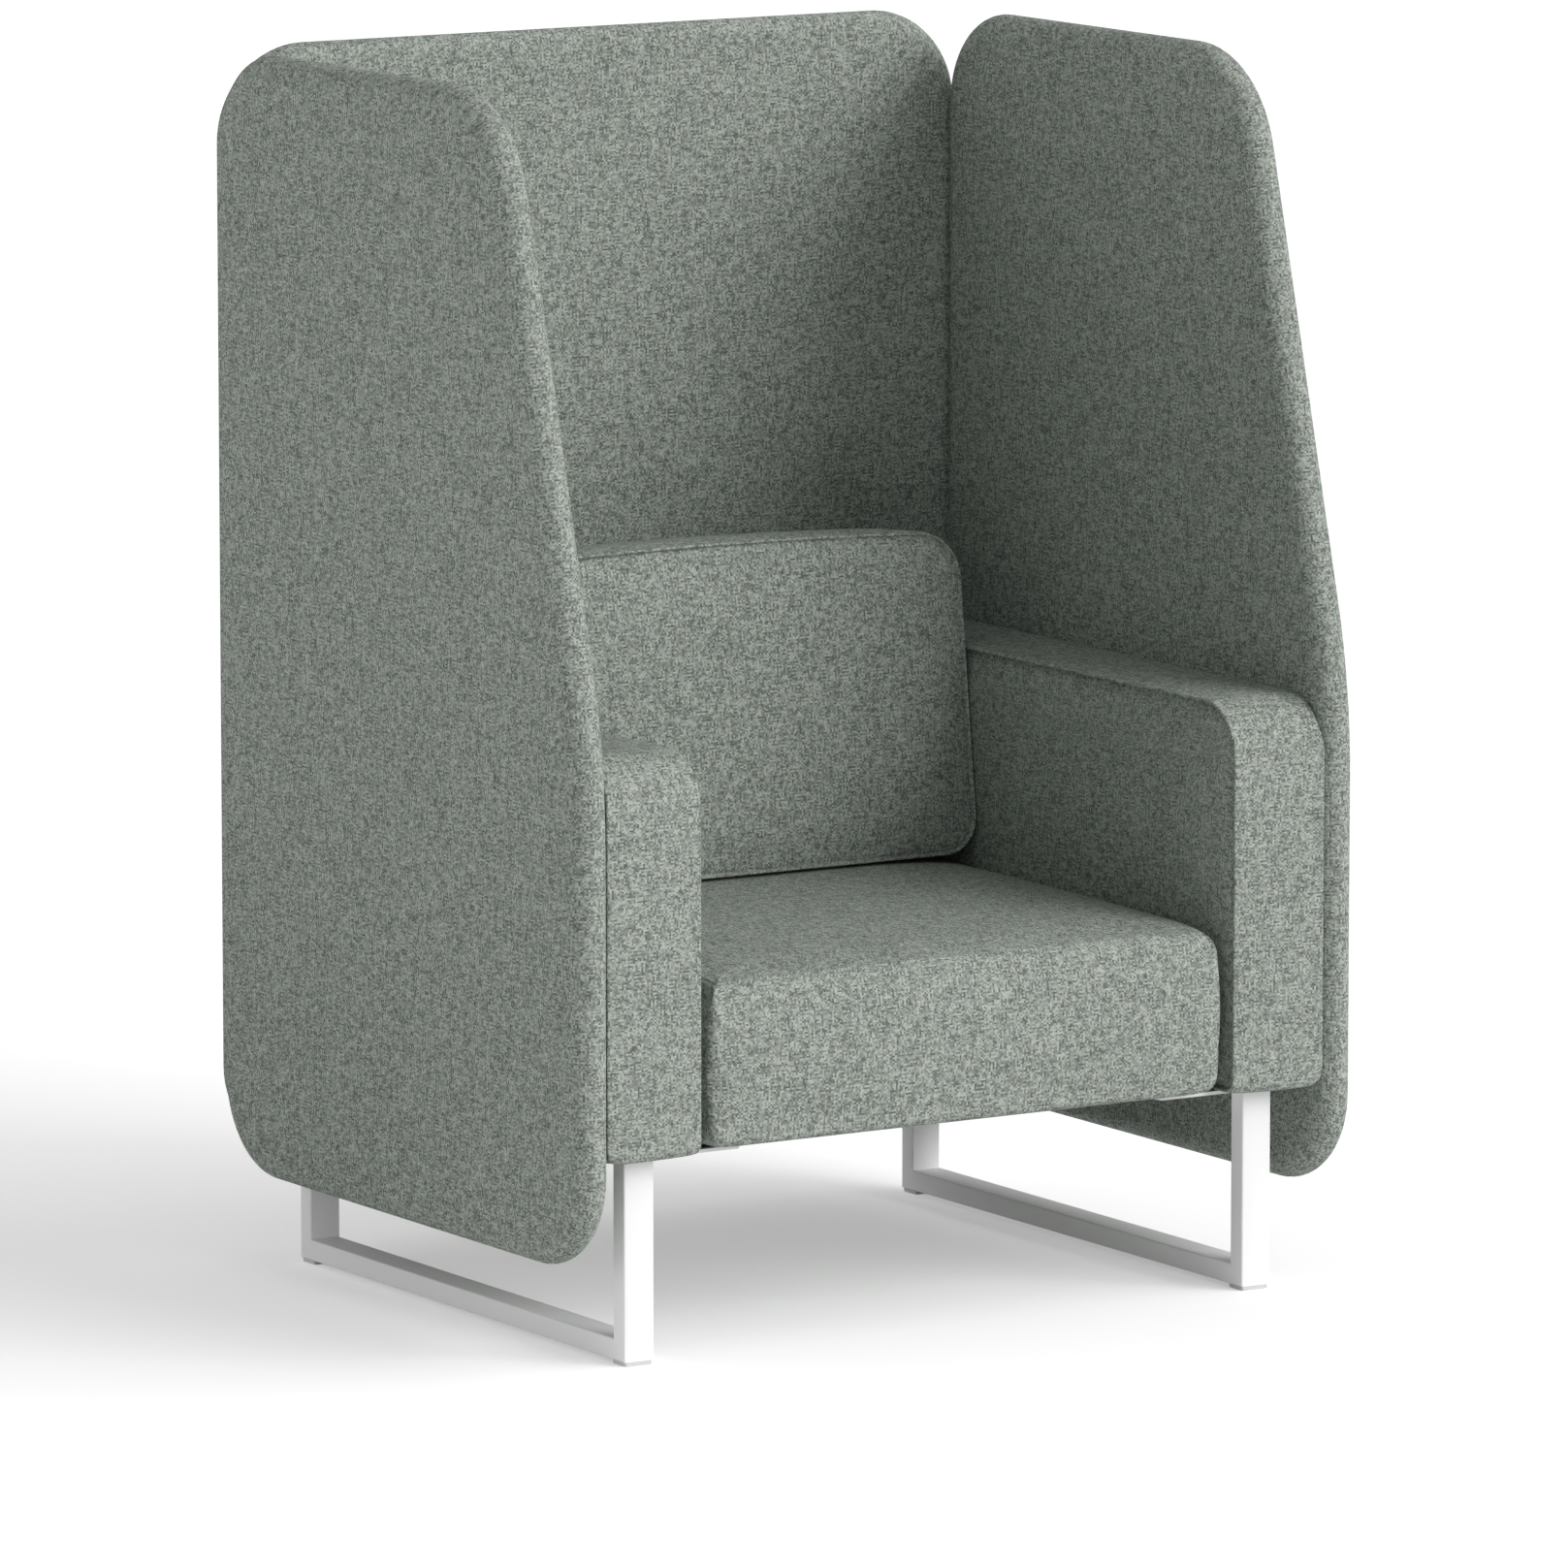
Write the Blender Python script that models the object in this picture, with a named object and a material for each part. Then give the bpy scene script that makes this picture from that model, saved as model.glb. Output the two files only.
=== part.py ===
# One-seat privacy booth: upholstered seat, arms and back inside three padded screens, on two sled legs.
# Metres, +Z up. The booth faces -Y. The origin is on the floor, under the middle of the booth.

import math

import bmesh
import bpy
from mathutils import Matrix, Vector

# Screens
BOOTH_WIDTH = 1.064
BOOTH_HEIGHT = 1.4539
SIDE_SCREEN_DEPTH = 0.8366
SCREEN_THICKNESS = 0.043
SCREEN_FLOOR_GAP = 0.118
SCREEN_CORNER_RADIUS = 0.115
SCREEN_CORE_THICKNESS = 0.018
SLANT_START_HEIGHT = 0.7147
SLANT_SETBACK = 0.1984
SLANT_TOP_RADIUS = 0.1515
SLANT_START_RADIUS = 0.8
BACK_SCREEN_OVERHANG = 0.0017

# Fabric and fit
FIT_GAP = 0.0003
COVER_THICKNESS = 0.0015
COVER_HEM = 0.035
SEAM_RIDGE = 0.0012
SEAM_WIDTH = 0.004

# Arms
ARM_WIDTH = 0.1234
ARM_BLOCK_HEIGHT = 0.464
ARM_SETBACK = 0.0082
ARM_TOP_RADIUS = 0.066
ARM_EDGE_RADIUS = 0.010
ARM_OUTER_RADIUS = 0.006
ARM_CROWN = 0.003
ARM_FOAM = 0.022
ARM_INNER_PANEL = 0.012
ARM_OUTER_PANEL = 0.015
ARM_POST_GRIP = 0.020

# Seat
SEAT_BLOCK_HEIGHT = 0.193
SEAT_SETBACK = 0.0132
SEAT_FRONT_CLEARANCE = 0.0173
SEAT_REAR_CLEARANCE = 0.0085
SEAT_SIDE_SWELL = 0.003
SEAT_CROWN = 0.013
SEAT_TOP_RADIUS = 0.012
SEAT_BOTTOM_RADIUS = 0.014
SEAT_CORNER_RADIUS = 0.005
SEAT_EDGE_FOAM = 0.014
SEAT_FRAME_HEIGHT = 0.070
SEAT_FRAME_WIDTH = 0.045
WEBBING_THICKNESS = 0.003
WEBBING_STRAP = 0.070
WEBBING_STRAPS_ACROSS = 5
WEBBING_STRAPS_ALONG = 6

# Back cushion
BACK_HEIGHT = 0.400
BACK_BOTTOM_THICKNESS = 0.2845
BACK_LEAN = 0.125
BACK_TOP_FALL = 0.030
BACK_CORNER_RADIUS = 0.055
BACK_EDGE_RADIUS = 0.010
BACK_CROWN = 0.012
BACK_TOP_DRAW = 0.005
BACK_BOTTOM_DRAW = 0.007
BACK_SIDE_DRAW = 0.002
BACK_BOX_ROUND = 0.035
BACK_BOARD = 0.012

# Sled legs
LEG_HEIGHT = 0.2437
SLED_SETBACK = 0.049
SLED_REAR_SETBACK = 0.0391
SLED_INSET = 0.0435
TUBE_WIDTH = 0.040
TUBE_DEPTH = 0.025
TUBE_WALL = 0.002
TUBE_RADIUS = 0.002
PLATE_THICKNESS = 0.004
PLATE_SEAT_REACH = 0.060
PLATE_DEPTH = 0.084
PLATE_RADIUS = 0.006
BEARER_THICKNESS = 0.0047
BEARER_WIDTH = 0.040
BEARER_MARGIN = 0.010
PAD_THICKNESS = 0.0047
PAD_LENGTH = 0.029
PAD_SIDE_INSET = 0.002
PAD_END_INSET = 0.001
PAD_DRAFT = 0.0008

# Bolts
BOLT_RADIUS = 0.004
BOLT_HEAD_RADIUS = 0.007
BOLT_HEAD_HEIGHT = 0.0045
BOLT_DOME_RADIUS = 0.0042
BOLT_END_COVER = 0.004
LEG_BOLT_LENGTH = 0.042
LEG_BOLT_EDGE = 0.022
SCREEN_BOLT_RISE = 0.236
SCREEN_BOLT_POST_GAP = 0.090
BACK_BOLT_SPACING = 0.420
BACK_BOLT_RISE = 0.200

# Facets of round stretches
CORNER_STEPS = 5
SMALL_CORNER_STEPS = 2
EDGE_STEPS = 3
ROUND_STEPS = 3
BOLT_SIDES = 10
LEAST_RADIUS = 0.0005
SHARP_ANGLE = math.radians(35)

# Rings that draw a crowned face, as shares of the way from its edge to its middle
ARM_FACE_RINGS = (0.15, 0.5)
SEAT_TOP_RINGS = (0.2, 0.5)
BACK_FACE_RINGS = (0.1, 0.35, 0.65)

# Share of the draw of the front seam that is left where the boxing of the back cushion turns straight
BACK_BOX_DRAW = 0.12

# Places that follow from the sizes above
BOOTH_DEPTH = SIDE_SCREEN_DEPTH + FIT_GAP + SCREEN_THICKNESS
FRONT_Y = -BOOTH_DEPTH / 2
SIDE_SCREEN_REAR_Y = FRONT_Y + SIDE_SCREEN_DEPTH
BACK_SCREEN_Y = BOOTH_DEPTH / 2 - SCREEN_THICKNESS / 2
SIDE_SCREEN_X = BOOTH_WIDTH / 2 - SCREEN_THICKNESS / 2
SCREEN_INNER_X = BOOTH_WIDTH / 2 - SCREEN_THICKNESS

ARM_OUTER_X = SCREEN_INNER_X - FIT_GAP
ARM_INNER_X = ARM_OUTER_X - ARM_WIDTH
ARM_BOTTOM_Z = LEG_HEIGHT + FIT_GAP
ARM_TOP_Z = ARM_BOTTOM_Z + ARM_BLOCK_HEIGHT
ARM_FRONT_Y = FRONT_Y + ARM_SETBACK
BLOCK_REAR_Y = SIDE_SCREEN_REAR_Y

# Inside of a cover: at its flat faces, and at its walls, which stand in from the seam ridge
SKIN = COVER_THICKNESS + FIT_GAP
WALL = SEAM_RIDGE + SKIN

ARM_FRAME_MARGIN = max(ARM_EDGE_RADIUS, ARM_OUTER_RADIUS)
ARM_FRAME_X = ARM_INNER_X + SKIN + ARM_FOAM + FIT_GAP
ARM_FRAME_OUTER_X = ARM_OUTER_X - SKIN
ARM_FRAME_FRONT_Y = ARM_FRONT_Y + WALL + ARM_FOAM + FIT_GAP
ARM_FRAME_REAR_Y = BLOCK_REAR_Y - WALL - ARM_FRAME_MARGIN
ARM_POST_BOTTOM_Z = ARM_BOTTOM_Z + WALL
ARM_FRAME_BOTTOM_Z = ARM_POST_BOTTOM_Z + ARM_FRAME_MARGIN
ARM_FRAME_TOP_Z = ARM_TOP_Z - WALL - ARM_FOAM - FIT_GAP
ARM_FRAME_RADIUS = ARM_TOP_RADIUS - WALL - ARM_FOAM - FIT_GAP

SEAT_BOTTOM_Z = LEG_HEIGHT + FIT_GAP + BEARER_THICKNESS + FIT_GAP
SEAT_TOP_Z = SEAT_BOTTOM_Z + SEAT_BLOCK_HEIGHT
SEAT_FRONT_Y = FRONT_Y + SEAT_SETBACK
SEAT_FRONT_X = ARM_INNER_X - SEAT_FRONT_CLEARANCE
SEAT_REAR_X = ARM_INNER_X - SEAT_REAR_CLEARANCE
SEAT_MIDDLE_Y = (SEAT_FRONT_Y + BLOCK_REAR_Y) / 2
SEAT_HALF_DEPTH = (BLOCK_REAR_Y - SEAT_FRONT_Y) / 2
SEAT_FRAME_X = SEAT_FRONT_X - WALL - SEAT_EDGE_FOAM - FIT_GAP
SEAT_FRAME_FRONT_Y = SEAT_FRONT_Y + WALL + SEAT_EDGE_FOAM + FIT_GAP
SEAT_FRAME_REAR_Y = BLOCK_REAR_Y - WALL - SEAT_EDGE_FOAM - FIT_GAP
SEAT_FRAME_BOTTOM_Z = SEAT_BOTTOM_Z + SKIN
SEAT_FRAME_TOP_Z = SEAT_FRAME_BOTTOM_Z + SEAT_FRAME_HEIGHT

BACK_HALF_WIDTH = ARM_INNER_X - ARM_CROWN - FIT_GAP
BACK_BOTTOM_Z = SEAT_TOP_Z + SEAT_CROWN + FIT_GAP
BACK_FRONT_Y = BLOCK_REAR_Y - BACK_BOTTOM_THICKNESS
BACK_BOARD_REAR_Y = BLOCK_REAR_Y - SKIN
BACK_BOARD_FRONT_Y = BACK_BOARD_REAR_Y - BACK_BOARD

SLED_FRONT_Y = FRONT_Y + SLED_SETBACK
SLED_REAR_Y = BLOCK_REAR_Y - SLED_REAR_SETBACK
SLED_OUTER_X = SCREEN_INNER_X - SLED_INSET
SLED_X = SLED_OUTER_X - TUBE_WIDTH / 2
RAIL_BOTTOM_Z = PAD_THICKNESS + FIT_GAP
PLATE_BOTTOM_Z = LEG_HEIGHT - PLATE_THICKNESS
LEG_TOP_Z = PLATE_BOTTOM_Z - FIT_GAP
PLATE_INNER_X = SEAT_FRONT_X - PLATE_SEAT_REACH
LEG_BOLT_INSET = PLATE_DEPTH - LEG_BOLT_EDGE
FRONT_POST_REAR_Y = SLED_FRONT_Y + LEG_BOLT_INSET + ARM_POST_GRIP
REAR_POST_FRONT_Y = SLED_REAR_Y - LEG_BOLT_INSET - ARM_POST_GRIP


# Finishes

def finish(name, colour, roughness, metallic=0.0):
    made = bpy.data.materials.new(name)
    made.use_nodes = True
    shader = made.node_tree.nodes["Principled BSDF"]
    shader.inputs["Base Color"].default_value = (*colour, 1.0)
    shader.inputs["Roughness"].default_value = roughness
    shader.inputs["Metallic"].default_value = metallic
    made.diffuse_color = (*colour, 1.0)
    return made


# Outlines and solids

def rounded_outline(corners, inset=0.0, edge_steps=1):
    # Corners are (a, b, radius, steps), counter-clockwise. The outline is drawn in by the inset.
    arcs = []
    for index, (a, b, radius, steps) in enumerate(corners):
        here = Vector((a, b))
        before = Vector(corners[index - 1][:2])
        after = Vector(corners[(index + 1) % len(corners)][:2])
        way_in = (here - before).normalized()
        way_out = (after - here).normalized()
        normal_in = Vector((-way_in.y, way_in.x))
        normal_out = Vector((-way_out.y, way_out.x))
        bisector = (normal_in + normal_out) / (1 + normal_in.dot(normal_out))
        turn = math.atan2(way_in.x * way_out.y - way_in.y * way_out.x, way_in.dot(way_out))
        arc_radius = max(radius - inset, LEAST_RADIUS)
        centre = here + bisector * (inset + arc_radius)
        spin = [Matrix.Rotation(turn * step / steps, 2) for step in range(steps + 1)]
        arcs.append([centre - arc_radius * (matrix @ normal_in) for matrix in spin])
    points = []
    for index, arc in enumerate(arcs):
        following = arcs[(index + 1) % len(arcs)][0]
        points.extend(arc)
        points.extend(arc[-1].lerp(following, step / edge_steps) for step in range(1, edge_steps))
    return points


def loft(name, rings, surface, looped=False):
    # Joins each ring of points to the next. A ring of one point closes to a peak, and looped makes a tube wall.
    made = bmesh.new()
    rows = [[made.verts.new(point) for point in ring] for ring in rings]
    pairs = list(zip(rows, rows[1:]))
    if looped:
        pairs.append((rows[-1], rows[0]))
    for low, high in pairs:
        count = max(len(low), len(high))
        for index in range(count):
            following = (index + 1) % count
            if len(low) == 1:
                made.faces.new((low[0], high[following], high[index]))
            elif len(high) == 1:
                made.faces.new((low[index], low[following], high[0]))
            else:
                made.faces.new((low[index], low[following], high[following]))
                made.faces.new((low[index], high[following], high[index]))
    if not looped:
        for row in (rows[0], rows[-1]):
            if len(row) > 2:
                made.faces.new(row)
    bmesh.ops.recalc_face_normals(made, faces=made.faces)
    mesh = bpy.data.meshes.new(name)
    made.to_mesh(mesh)
    made.free()
    mesh.shade_smooth()
    mesh.set_sharp_from_angle(angle=SHARP_ANGLE)
    piece = bpy.data.objects.new(name, mesh)
    bpy.context.scene.collection.objects.link(piece)
    if surface:
        mesh.materials.append(surface)
    else:
        piece.hide_render = True
        piece.display_type = "WIRE"
    return piece


def cut(piece, cutter):
    change = piece.modifiers.new(cutter.name, "BOOLEAN")
    change.operation = "DIFFERENCE"
    change.solver = "EXACT"
    change.object = cutter


def board(name, low, high, surface):
    corners = [(low[0], low[1]), (high[0], low[1]), (high[0], high[1]), (low[0], high[1])]
    rings = [[(x, y, z) for x, y in corners] for z in (low[2], high[2])]
    return loft(name, rings, surface)


def sided(side, low, high):
    # Turns a box given for the right side into the box of either side.
    if side > 0:
        return low, high
    return (-high[0], low[1], low[2]), (-low[0], high[1], high[2])


def turned(name, foot, axis, stations, surface):
    # A round piece: stations are (distance along the axis, radius).
    turn = Vector((0, 0, 1)).rotation_difference(Vector(axis)).to_matrix()
    angles = [2 * math.pi * step / BOLT_SIDES for step in range(BOLT_SIDES)]
    rings = []
    for along, radius in stations:
        ring = [Vector((radius * math.cos(angle), radius * math.sin(angle), along)) for angle in angles]
        rings.append([Vector(foot) + turn @ point for point in ring])
    return loft(name, rings, surface)


def bolt(name, seat, axis, length, surface, drilled):
    # A button-head bolt whose head bears at the seat point, with a fitted hole in each drilled piece.
    stations = [
        (-BOLT_HEAD_HEIGHT, BOLT_DOME_RADIUS),
        (-BOLT_HEAD_HEIGHT / 2, BOLT_HEAD_RADIUS),
        (0, BOLT_HEAD_RADIUS),
        (0, BOLT_RADIUS),
        (length, BOLT_RADIUS),
    ]
    turned(name, seat, axis, stations, surface)
    hole = [
        (-BOLT_HEAD_HEIGHT - FIT_GAP, BOLT_HEAD_RADIUS + FIT_GAP),
        (FIT_GAP, BOLT_HEAD_RADIUS + FIT_GAP),
        (FIT_GAP, BOLT_RADIUS + FIT_GAP),
        (length + FIT_GAP, BOLT_RADIUS + FIT_GAP),
    ]
    cutter = turned(name + "_hole", seat, axis, hole, None)
    for piece in drilled:
        cut(piece, cutter)


def quarter(radius, layer):
    # Inset and depth of a rounded edge, from the flat face to the wall, for a layer this deep inside the cover.
    inner = max(radius - layer, LEAST_RADIUS)
    turns = [math.pi / 2 * step / ROUND_STEPS for step in range(ROUND_STEPS + 1)]
    wall = SEAM_RIDGE + layer
    return [(wall + inner * (1 - math.sin(turn)), layer + inner * (1 - math.cos(turn))) for turn in turns]


def ridge_inset(layer):
    # The seam ridge stands out of the wall on the outside of a cover only.
    return 0.0 if layer == 0 else SEAM_RIDGE + layer


# Screens

def side_screen_corners():
    steps = CORNER_STEPS
    return [
        (FRONT_Y, SCREEN_FLOOR_GAP, SCREEN_CORNER_RADIUS, steps),
        (SIDE_SCREEN_REAR_Y, SCREEN_FLOOR_GAP, SCREEN_CORNER_RADIUS, steps),
        (SIDE_SCREEN_REAR_Y, BOOTH_HEIGHT, SCREEN_CORNER_RADIUS, steps),
        (FRONT_Y + SLANT_SETBACK, BOOTH_HEIGHT, SLANT_TOP_RADIUS, steps),
        (FRONT_Y, SLANT_START_HEIGHT, SLANT_START_RADIUS, ROUND_STEPS),
    ]


def back_screen_corners():
    half = SIDE_SCREEN_X + BACK_SCREEN_OVERHANG
    steps = CORNER_STEPS
    return [
        (-half, SCREEN_FLOOR_GAP, SCREEN_CORNER_RADIUS, steps),
        (half, SCREEN_FLOOR_GAP, SCREEN_CORNER_RADIUS, steps),
        (half, BOOTH_HEIGHT, SCREEN_CORNER_RADIUS, steps),
        (-half, BOOTH_HEIGHT, SCREEN_CORNER_RADIUS, steps),
    ]


def screen(name, corners, place, fabric, foam, wood):
    # A core board between two foam sheets in a sewn cover with a round edge. Place takes (a, b, depth).
    half = SCREEN_THICKNESS / 2
    core_half = SCREEN_CORE_THICKNESS / 2

    def bullnose(layer, turns):
        radius = half - layer
        rings = []
        for turn in turns:
            outline = rounded_outline(corners, layer + radius * (1 - math.cos(turn)))
            rings.append([place(a, b, radius * math.sin(turn)) for a, b in outline])
        return rings

    split = math.asin((core_half + FIT_GAP) / (half - SKIN))
    sweep = math.pi / 2 - split
    outer_turns = [split + sweep * step / ROUND_STEPS for step in range(ROUND_STEPS + 1)]
    inner_turns = [-turn for turn in reversed(outer_turns)]
    all_turns = inner_turns + [0.0] + outer_turns
    cover = loft(name + "_cover", bullnose(0, all_turns), fabric)
    cut(cover, loft(name + "_hollow", bullnose(COVER_THICKNESS, all_turns), None))
    inner = loft(name + "_inner_foam", bullnose(SKIN, inner_turns), foam)
    loft(name + "_outer_foam", bullnose(SKIN, outer_turns), foam)
    edge_foam = (half - SKIN) * (1 - math.cos(split))
    outline = rounded_outline(corners, SKIN + edge_foam + FIT_GAP)
    core_rings = [[place(a, b, depth) for a, b in outline] for depth in (-core_half, core_half)]
    core = loft(name + "_core_board", core_rings, wood)
    return cover, inner, core


# Arms

def arm_corners(front, rear, bottom, top, top_radius):
    return [
        (front, bottom, ARM_EDGE_RADIUS, SMALL_CORNER_STEPS),
        (rear, bottom, ARM_EDGE_RADIUS, SMALL_CORNER_STEPS),
        (rear, top, ARM_EDGE_RADIUS, SMALL_CORNER_STEPS),
        (front, top, top_radius, CORNER_STEPS),
    ]


def arm_rings(side, layer, hem):
    # Rings from the flat outer face, round the band, to the crowned inner face.
    corners = arm_corners(ARM_FRONT_Y, BLOCK_REAR_Y, ARM_BOTTOM_Z, ARM_TOP_Z, ARM_TOP_RADIUS)
    middle_y = (ARM_FRONT_Y + BLOCK_REAR_Y) / 2
    half_y = (BLOCK_REAR_Y - ARM_FRONT_Y) / 2
    middle_z = (ARM_BOTTOM_Z + ARM_TOP_Z) / 2
    half_z = ARM_BLOCK_HEIGHT / 2

    def ring(x, inset, crown=0.0):
        points = []
        for y, z in rounded_outline(corners, inset, EDGE_STEPS):
            swell = (1 - ((y - middle_y) / half_y) ** 2) * (1 - ((z - middle_z) / half_z) ** 2)
            points.append((side * (x - crown * swell), y, z))
        return points

    wall = SEAM_RIDGE + layer
    face = ARM_INNER_X + layer
    rings = [ring(ARM_OUTER_X - layer, COVER_HEM)] if hem else []
    rings += [ring(ARM_OUTER_X - depth, inset) for inset, depth in quarter(ARM_OUTER_RADIUS, layer)]
    rings.append(ring(face + SEAM_WIDTH, wall))
    rings.append(ring(face + SEAM_WIDTH / 2, ridge_inset(layer)))
    rings.append(ring(face, wall))
    rings += [ring(face, wall + half_z * share, ARM_CROWN) for share in ARM_FACE_RINGS]
    rings.append([(side * (face - ARM_CROWN), middle_y, middle_z)])
    return rings


def arm(name, side, fabric, foam, plywood, timber):
    cover_rings = arm_rings(side, COVER_THICKNESS, True)[::-1] + arm_rings(side, 0, True)
    cover = loft(name + "_cover", cover_rings, fabric)
    wrap = loft(name + "_foam", arm_rings(side, SKIN, False)[::-1], foam)

    def profile(x, room, past):
        corners = arm_corners(
            ARM_FRAME_FRONT_Y - room,
            ARM_FRAME_REAR_Y + past,
            ARM_FRAME_BOTTOM_Z - past,
            ARM_FRAME_TOP_Z + room,
            ARM_FRAME_RADIUS + room,
        )
        return [(side * x, y, z) for y, z in rounded_outline(corners)]

    beyond = ARM_WIDTH
    space = [profile(ARM_FRAME_X - FIT_GAP, FIT_GAP, beyond), profile(ARM_OUTER_X + beyond, FIT_GAP, beyond)]
    cut(wrap, loft(name + "_frame_space", space, None))
    inner_edge = ARM_FRAME_X + ARM_INNER_PANEL
    outer_edge = ARM_FRAME_OUTER_X - ARM_OUTER_PANEL
    inner = loft(name + "_inner_panel", [profile(x, 0, 0) for x in (ARM_FRAME_X, inner_edge)], plywood)
    outer = loft(name + "_outer_panel", [profile(x, 0, 0) for x in (outer_edge, ARM_FRAME_OUTER_X)], plywood)
    post_top = ARM_FRAME_TOP_Z - ARM_FRAME_RADIUS
    posts = {}
    for end, front, rear in (
        ("front", ARM_FRAME_FRONT_Y, FRONT_POST_REAR_Y),
        ("rear", REAR_POST_FRONT_Y, ARM_FRAME_REAR_Y),
    ):
        low = (inner_edge + FIT_GAP, front, ARM_POST_BOTTOM_Z)
        high = (outer_edge - FIT_GAP, rear, post_top)
        posts[end] = board(name + "_" + end + "_post", *sided(side, low, high), timber)
    return (cover, wrap, inner), outer, posts


# Seat

def seat_rings(layer, hem):
    # Rings from the hemmed underside, up the sides, to the crowned top.
    corners = [
        (-SEAT_FRONT_X, SEAT_FRONT_Y, SEAT_CORNER_RADIUS, SMALL_CORNER_STEPS),
        (SEAT_FRONT_X, SEAT_FRONT_Y, SEAT_CORNER_RADIUS, SMALL_CORNER_STEPS),
        (SEAT_REAR_X, BLOCK_REAR_Y, SEAT_CORNER_RADIUS, SMALL_CORNER_STEPS),
        (-SEAT_REAR_X, BLOCK_REAR_Y, SEAT_CORNER_RADIUS, SMALL_CORNER_STEPS),
    ]

    def ring(z, inset, crown=0.0):
        points = []
        for x, y in rounded_outline(corners, inset, EDGE_STEPS):
            along = (y - SEAT_MIDDLE_Y) / SEAT_HALF_DEPTH
            across = x / SEAT_REAR_X
            swell = (1 - along**2) * (1 - across**2)
            points.append((x + SEAT_SIDE_SWELL * across * (1 - along**2), y, z + crown * swell))
        return points

    wall = SEAM_RIDGE + layer
    wall_top = SEAT_TOP_Z - SEAT_TOP_RADIUS
    rings = [ring(SEAT_BOTTOM_Z + layer, COVER_HEM)] if hem else []
    rings += [ring(SEAT_BOTTOM_Z + depth, inset) for inset, depth in quarter(SEAT_BOTTOM_RADIUS, layer)]
    rings.append(ring(wall_top - SEAM_WIDTH, wall))
    rings.append(ring(wall_top - SEAM_WIDTH / 2, ridge_inset(layer)))
    edge = quarter(SEAT_TOP_RADIUS, layer)[::-1]
    rings += [ring(SEAT_TOP_Z - depth, inset, SEAT_CROWN) for inset, depth in edge]
    top = SEAT_TOP_Z - layer
    rings += [ring(top, wall + SEAT_FRONT_X * share, SEAT_CROWN) for share in SEAT_TOP_RINGS]
    rings.append([(0, SEAT_MIDDLE_Y, top + SEAT_CROWN)])
    return rings


def webbing_mat(name, low, high, surface):
    # Straps woven both ways into one mat: a plate with a grid of slots.
    def stops(first, last, straps):
        pitch = (last - first - WEBBING_STRAP) / (straps - 1)
        marks = []
        for index in range(straps):
            marks.append(first + index * pitch)
            marks.append(marks[-1] + WEBBING_STRAP)
        return marks

    across = stops(low[0], high[0], WEBBING_STRAPS_ACROSS)
    along = stops(low[1], high[1], WEBBING_STRAPS_ALONG)
    made = bmesh.new()
    floor = [[made.verts.new((x, y, low[2])) for y in along] for x in across]
    for i in range(len(across) - 1):
        for j in range(len(along) - 1):
            if i % 2 == 0 or j % 2 == 0:
                made.faces.new((floor[i][j], floor[i + 1][j], floor[i + 1][j + 1], floor[i][j + 1]))
    raised = bmesh.ops.extrude_face_region(made, geom=made.faces[:])
    top = [part for part in raised["geom"] if isinstance(part, bmesh.types.BMVert)]
    bmesh.ops.translate(made, verts=top, vec=(0, 0, high[2] - low[2]))
    bmesh.ops.recalc_face_normals(made, faces=made.faces)
    mesh = bpy.data.meshes.new(name)
    made.to_mesh(mesh)
    made.free()
    mesh.materials.append(surface)
    bpy.context.scene.collection.objects.link(bpy.data.objects.new(name, mesh))


def seat(fabric, foam, timber, strap, cloth):
    loft("seat_cover", seat_rings(COVER_THICKNESS, True)[::-1] + seat_rings(0, True), fabric)
    block = loft("seat_foam", seat_rings(SKIN, False)[::-1], foam)
    low = Vector((-SEAT_FRAME_X, SEAT_FRAME_FRONT_Y, SEAT_FRAME_BOTTOM_Z))
    high = Vector((SEAT_FRAME_X, SEAT_FRAME_REAR_Y, SEAT_FRAME_TOP_Z))
    frame = board("seat_frame", low, high, timber)
    rail = Vector((SEAT_FRAME_WIDTH, SEAT_FRAME_WIDTH, -SEAT_FRAME_HEIGHT))
    cut(frame, board("seat_frame_opening", low + rail, high - rail, None))
    webbing_low = (low.x, low.y, high.z + FIT_GAP)
    webbing_high = (high.x, high.y, high.z + FIT_GAP + WEBBING_THICKNESS)
    webbing_mat("seat_webbing", webbing_low, webbing_high, strap)
    room = Vector((FIT_GAP, FIT_GAP, SEAT_FRAME_HEIGHT))
    roof = Vector((high.x + FIT_GAP, high.y + FIT_GAP, webbing_high[2] + FIT_GAP))
    cut(block, board("seat_frame_space", low - room, roof, None))
    hem = COVER_HEM + FIT_GAP
    cloth_x = SEAT_FRONT_X - hem
    cloth_low = (-cloth_x, SEAT_FRONT_Y + hem, SEAT_BOTTOM_Z)
    cloth_high = (cloth_x, BLOCK_REAR_Y - hem, SEAT_BOTTOM_Z + COVER_THICKNESS)
    board("seat_dust_cloth", cloth_low, cloth_high, cloth)


# Back cushion

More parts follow.
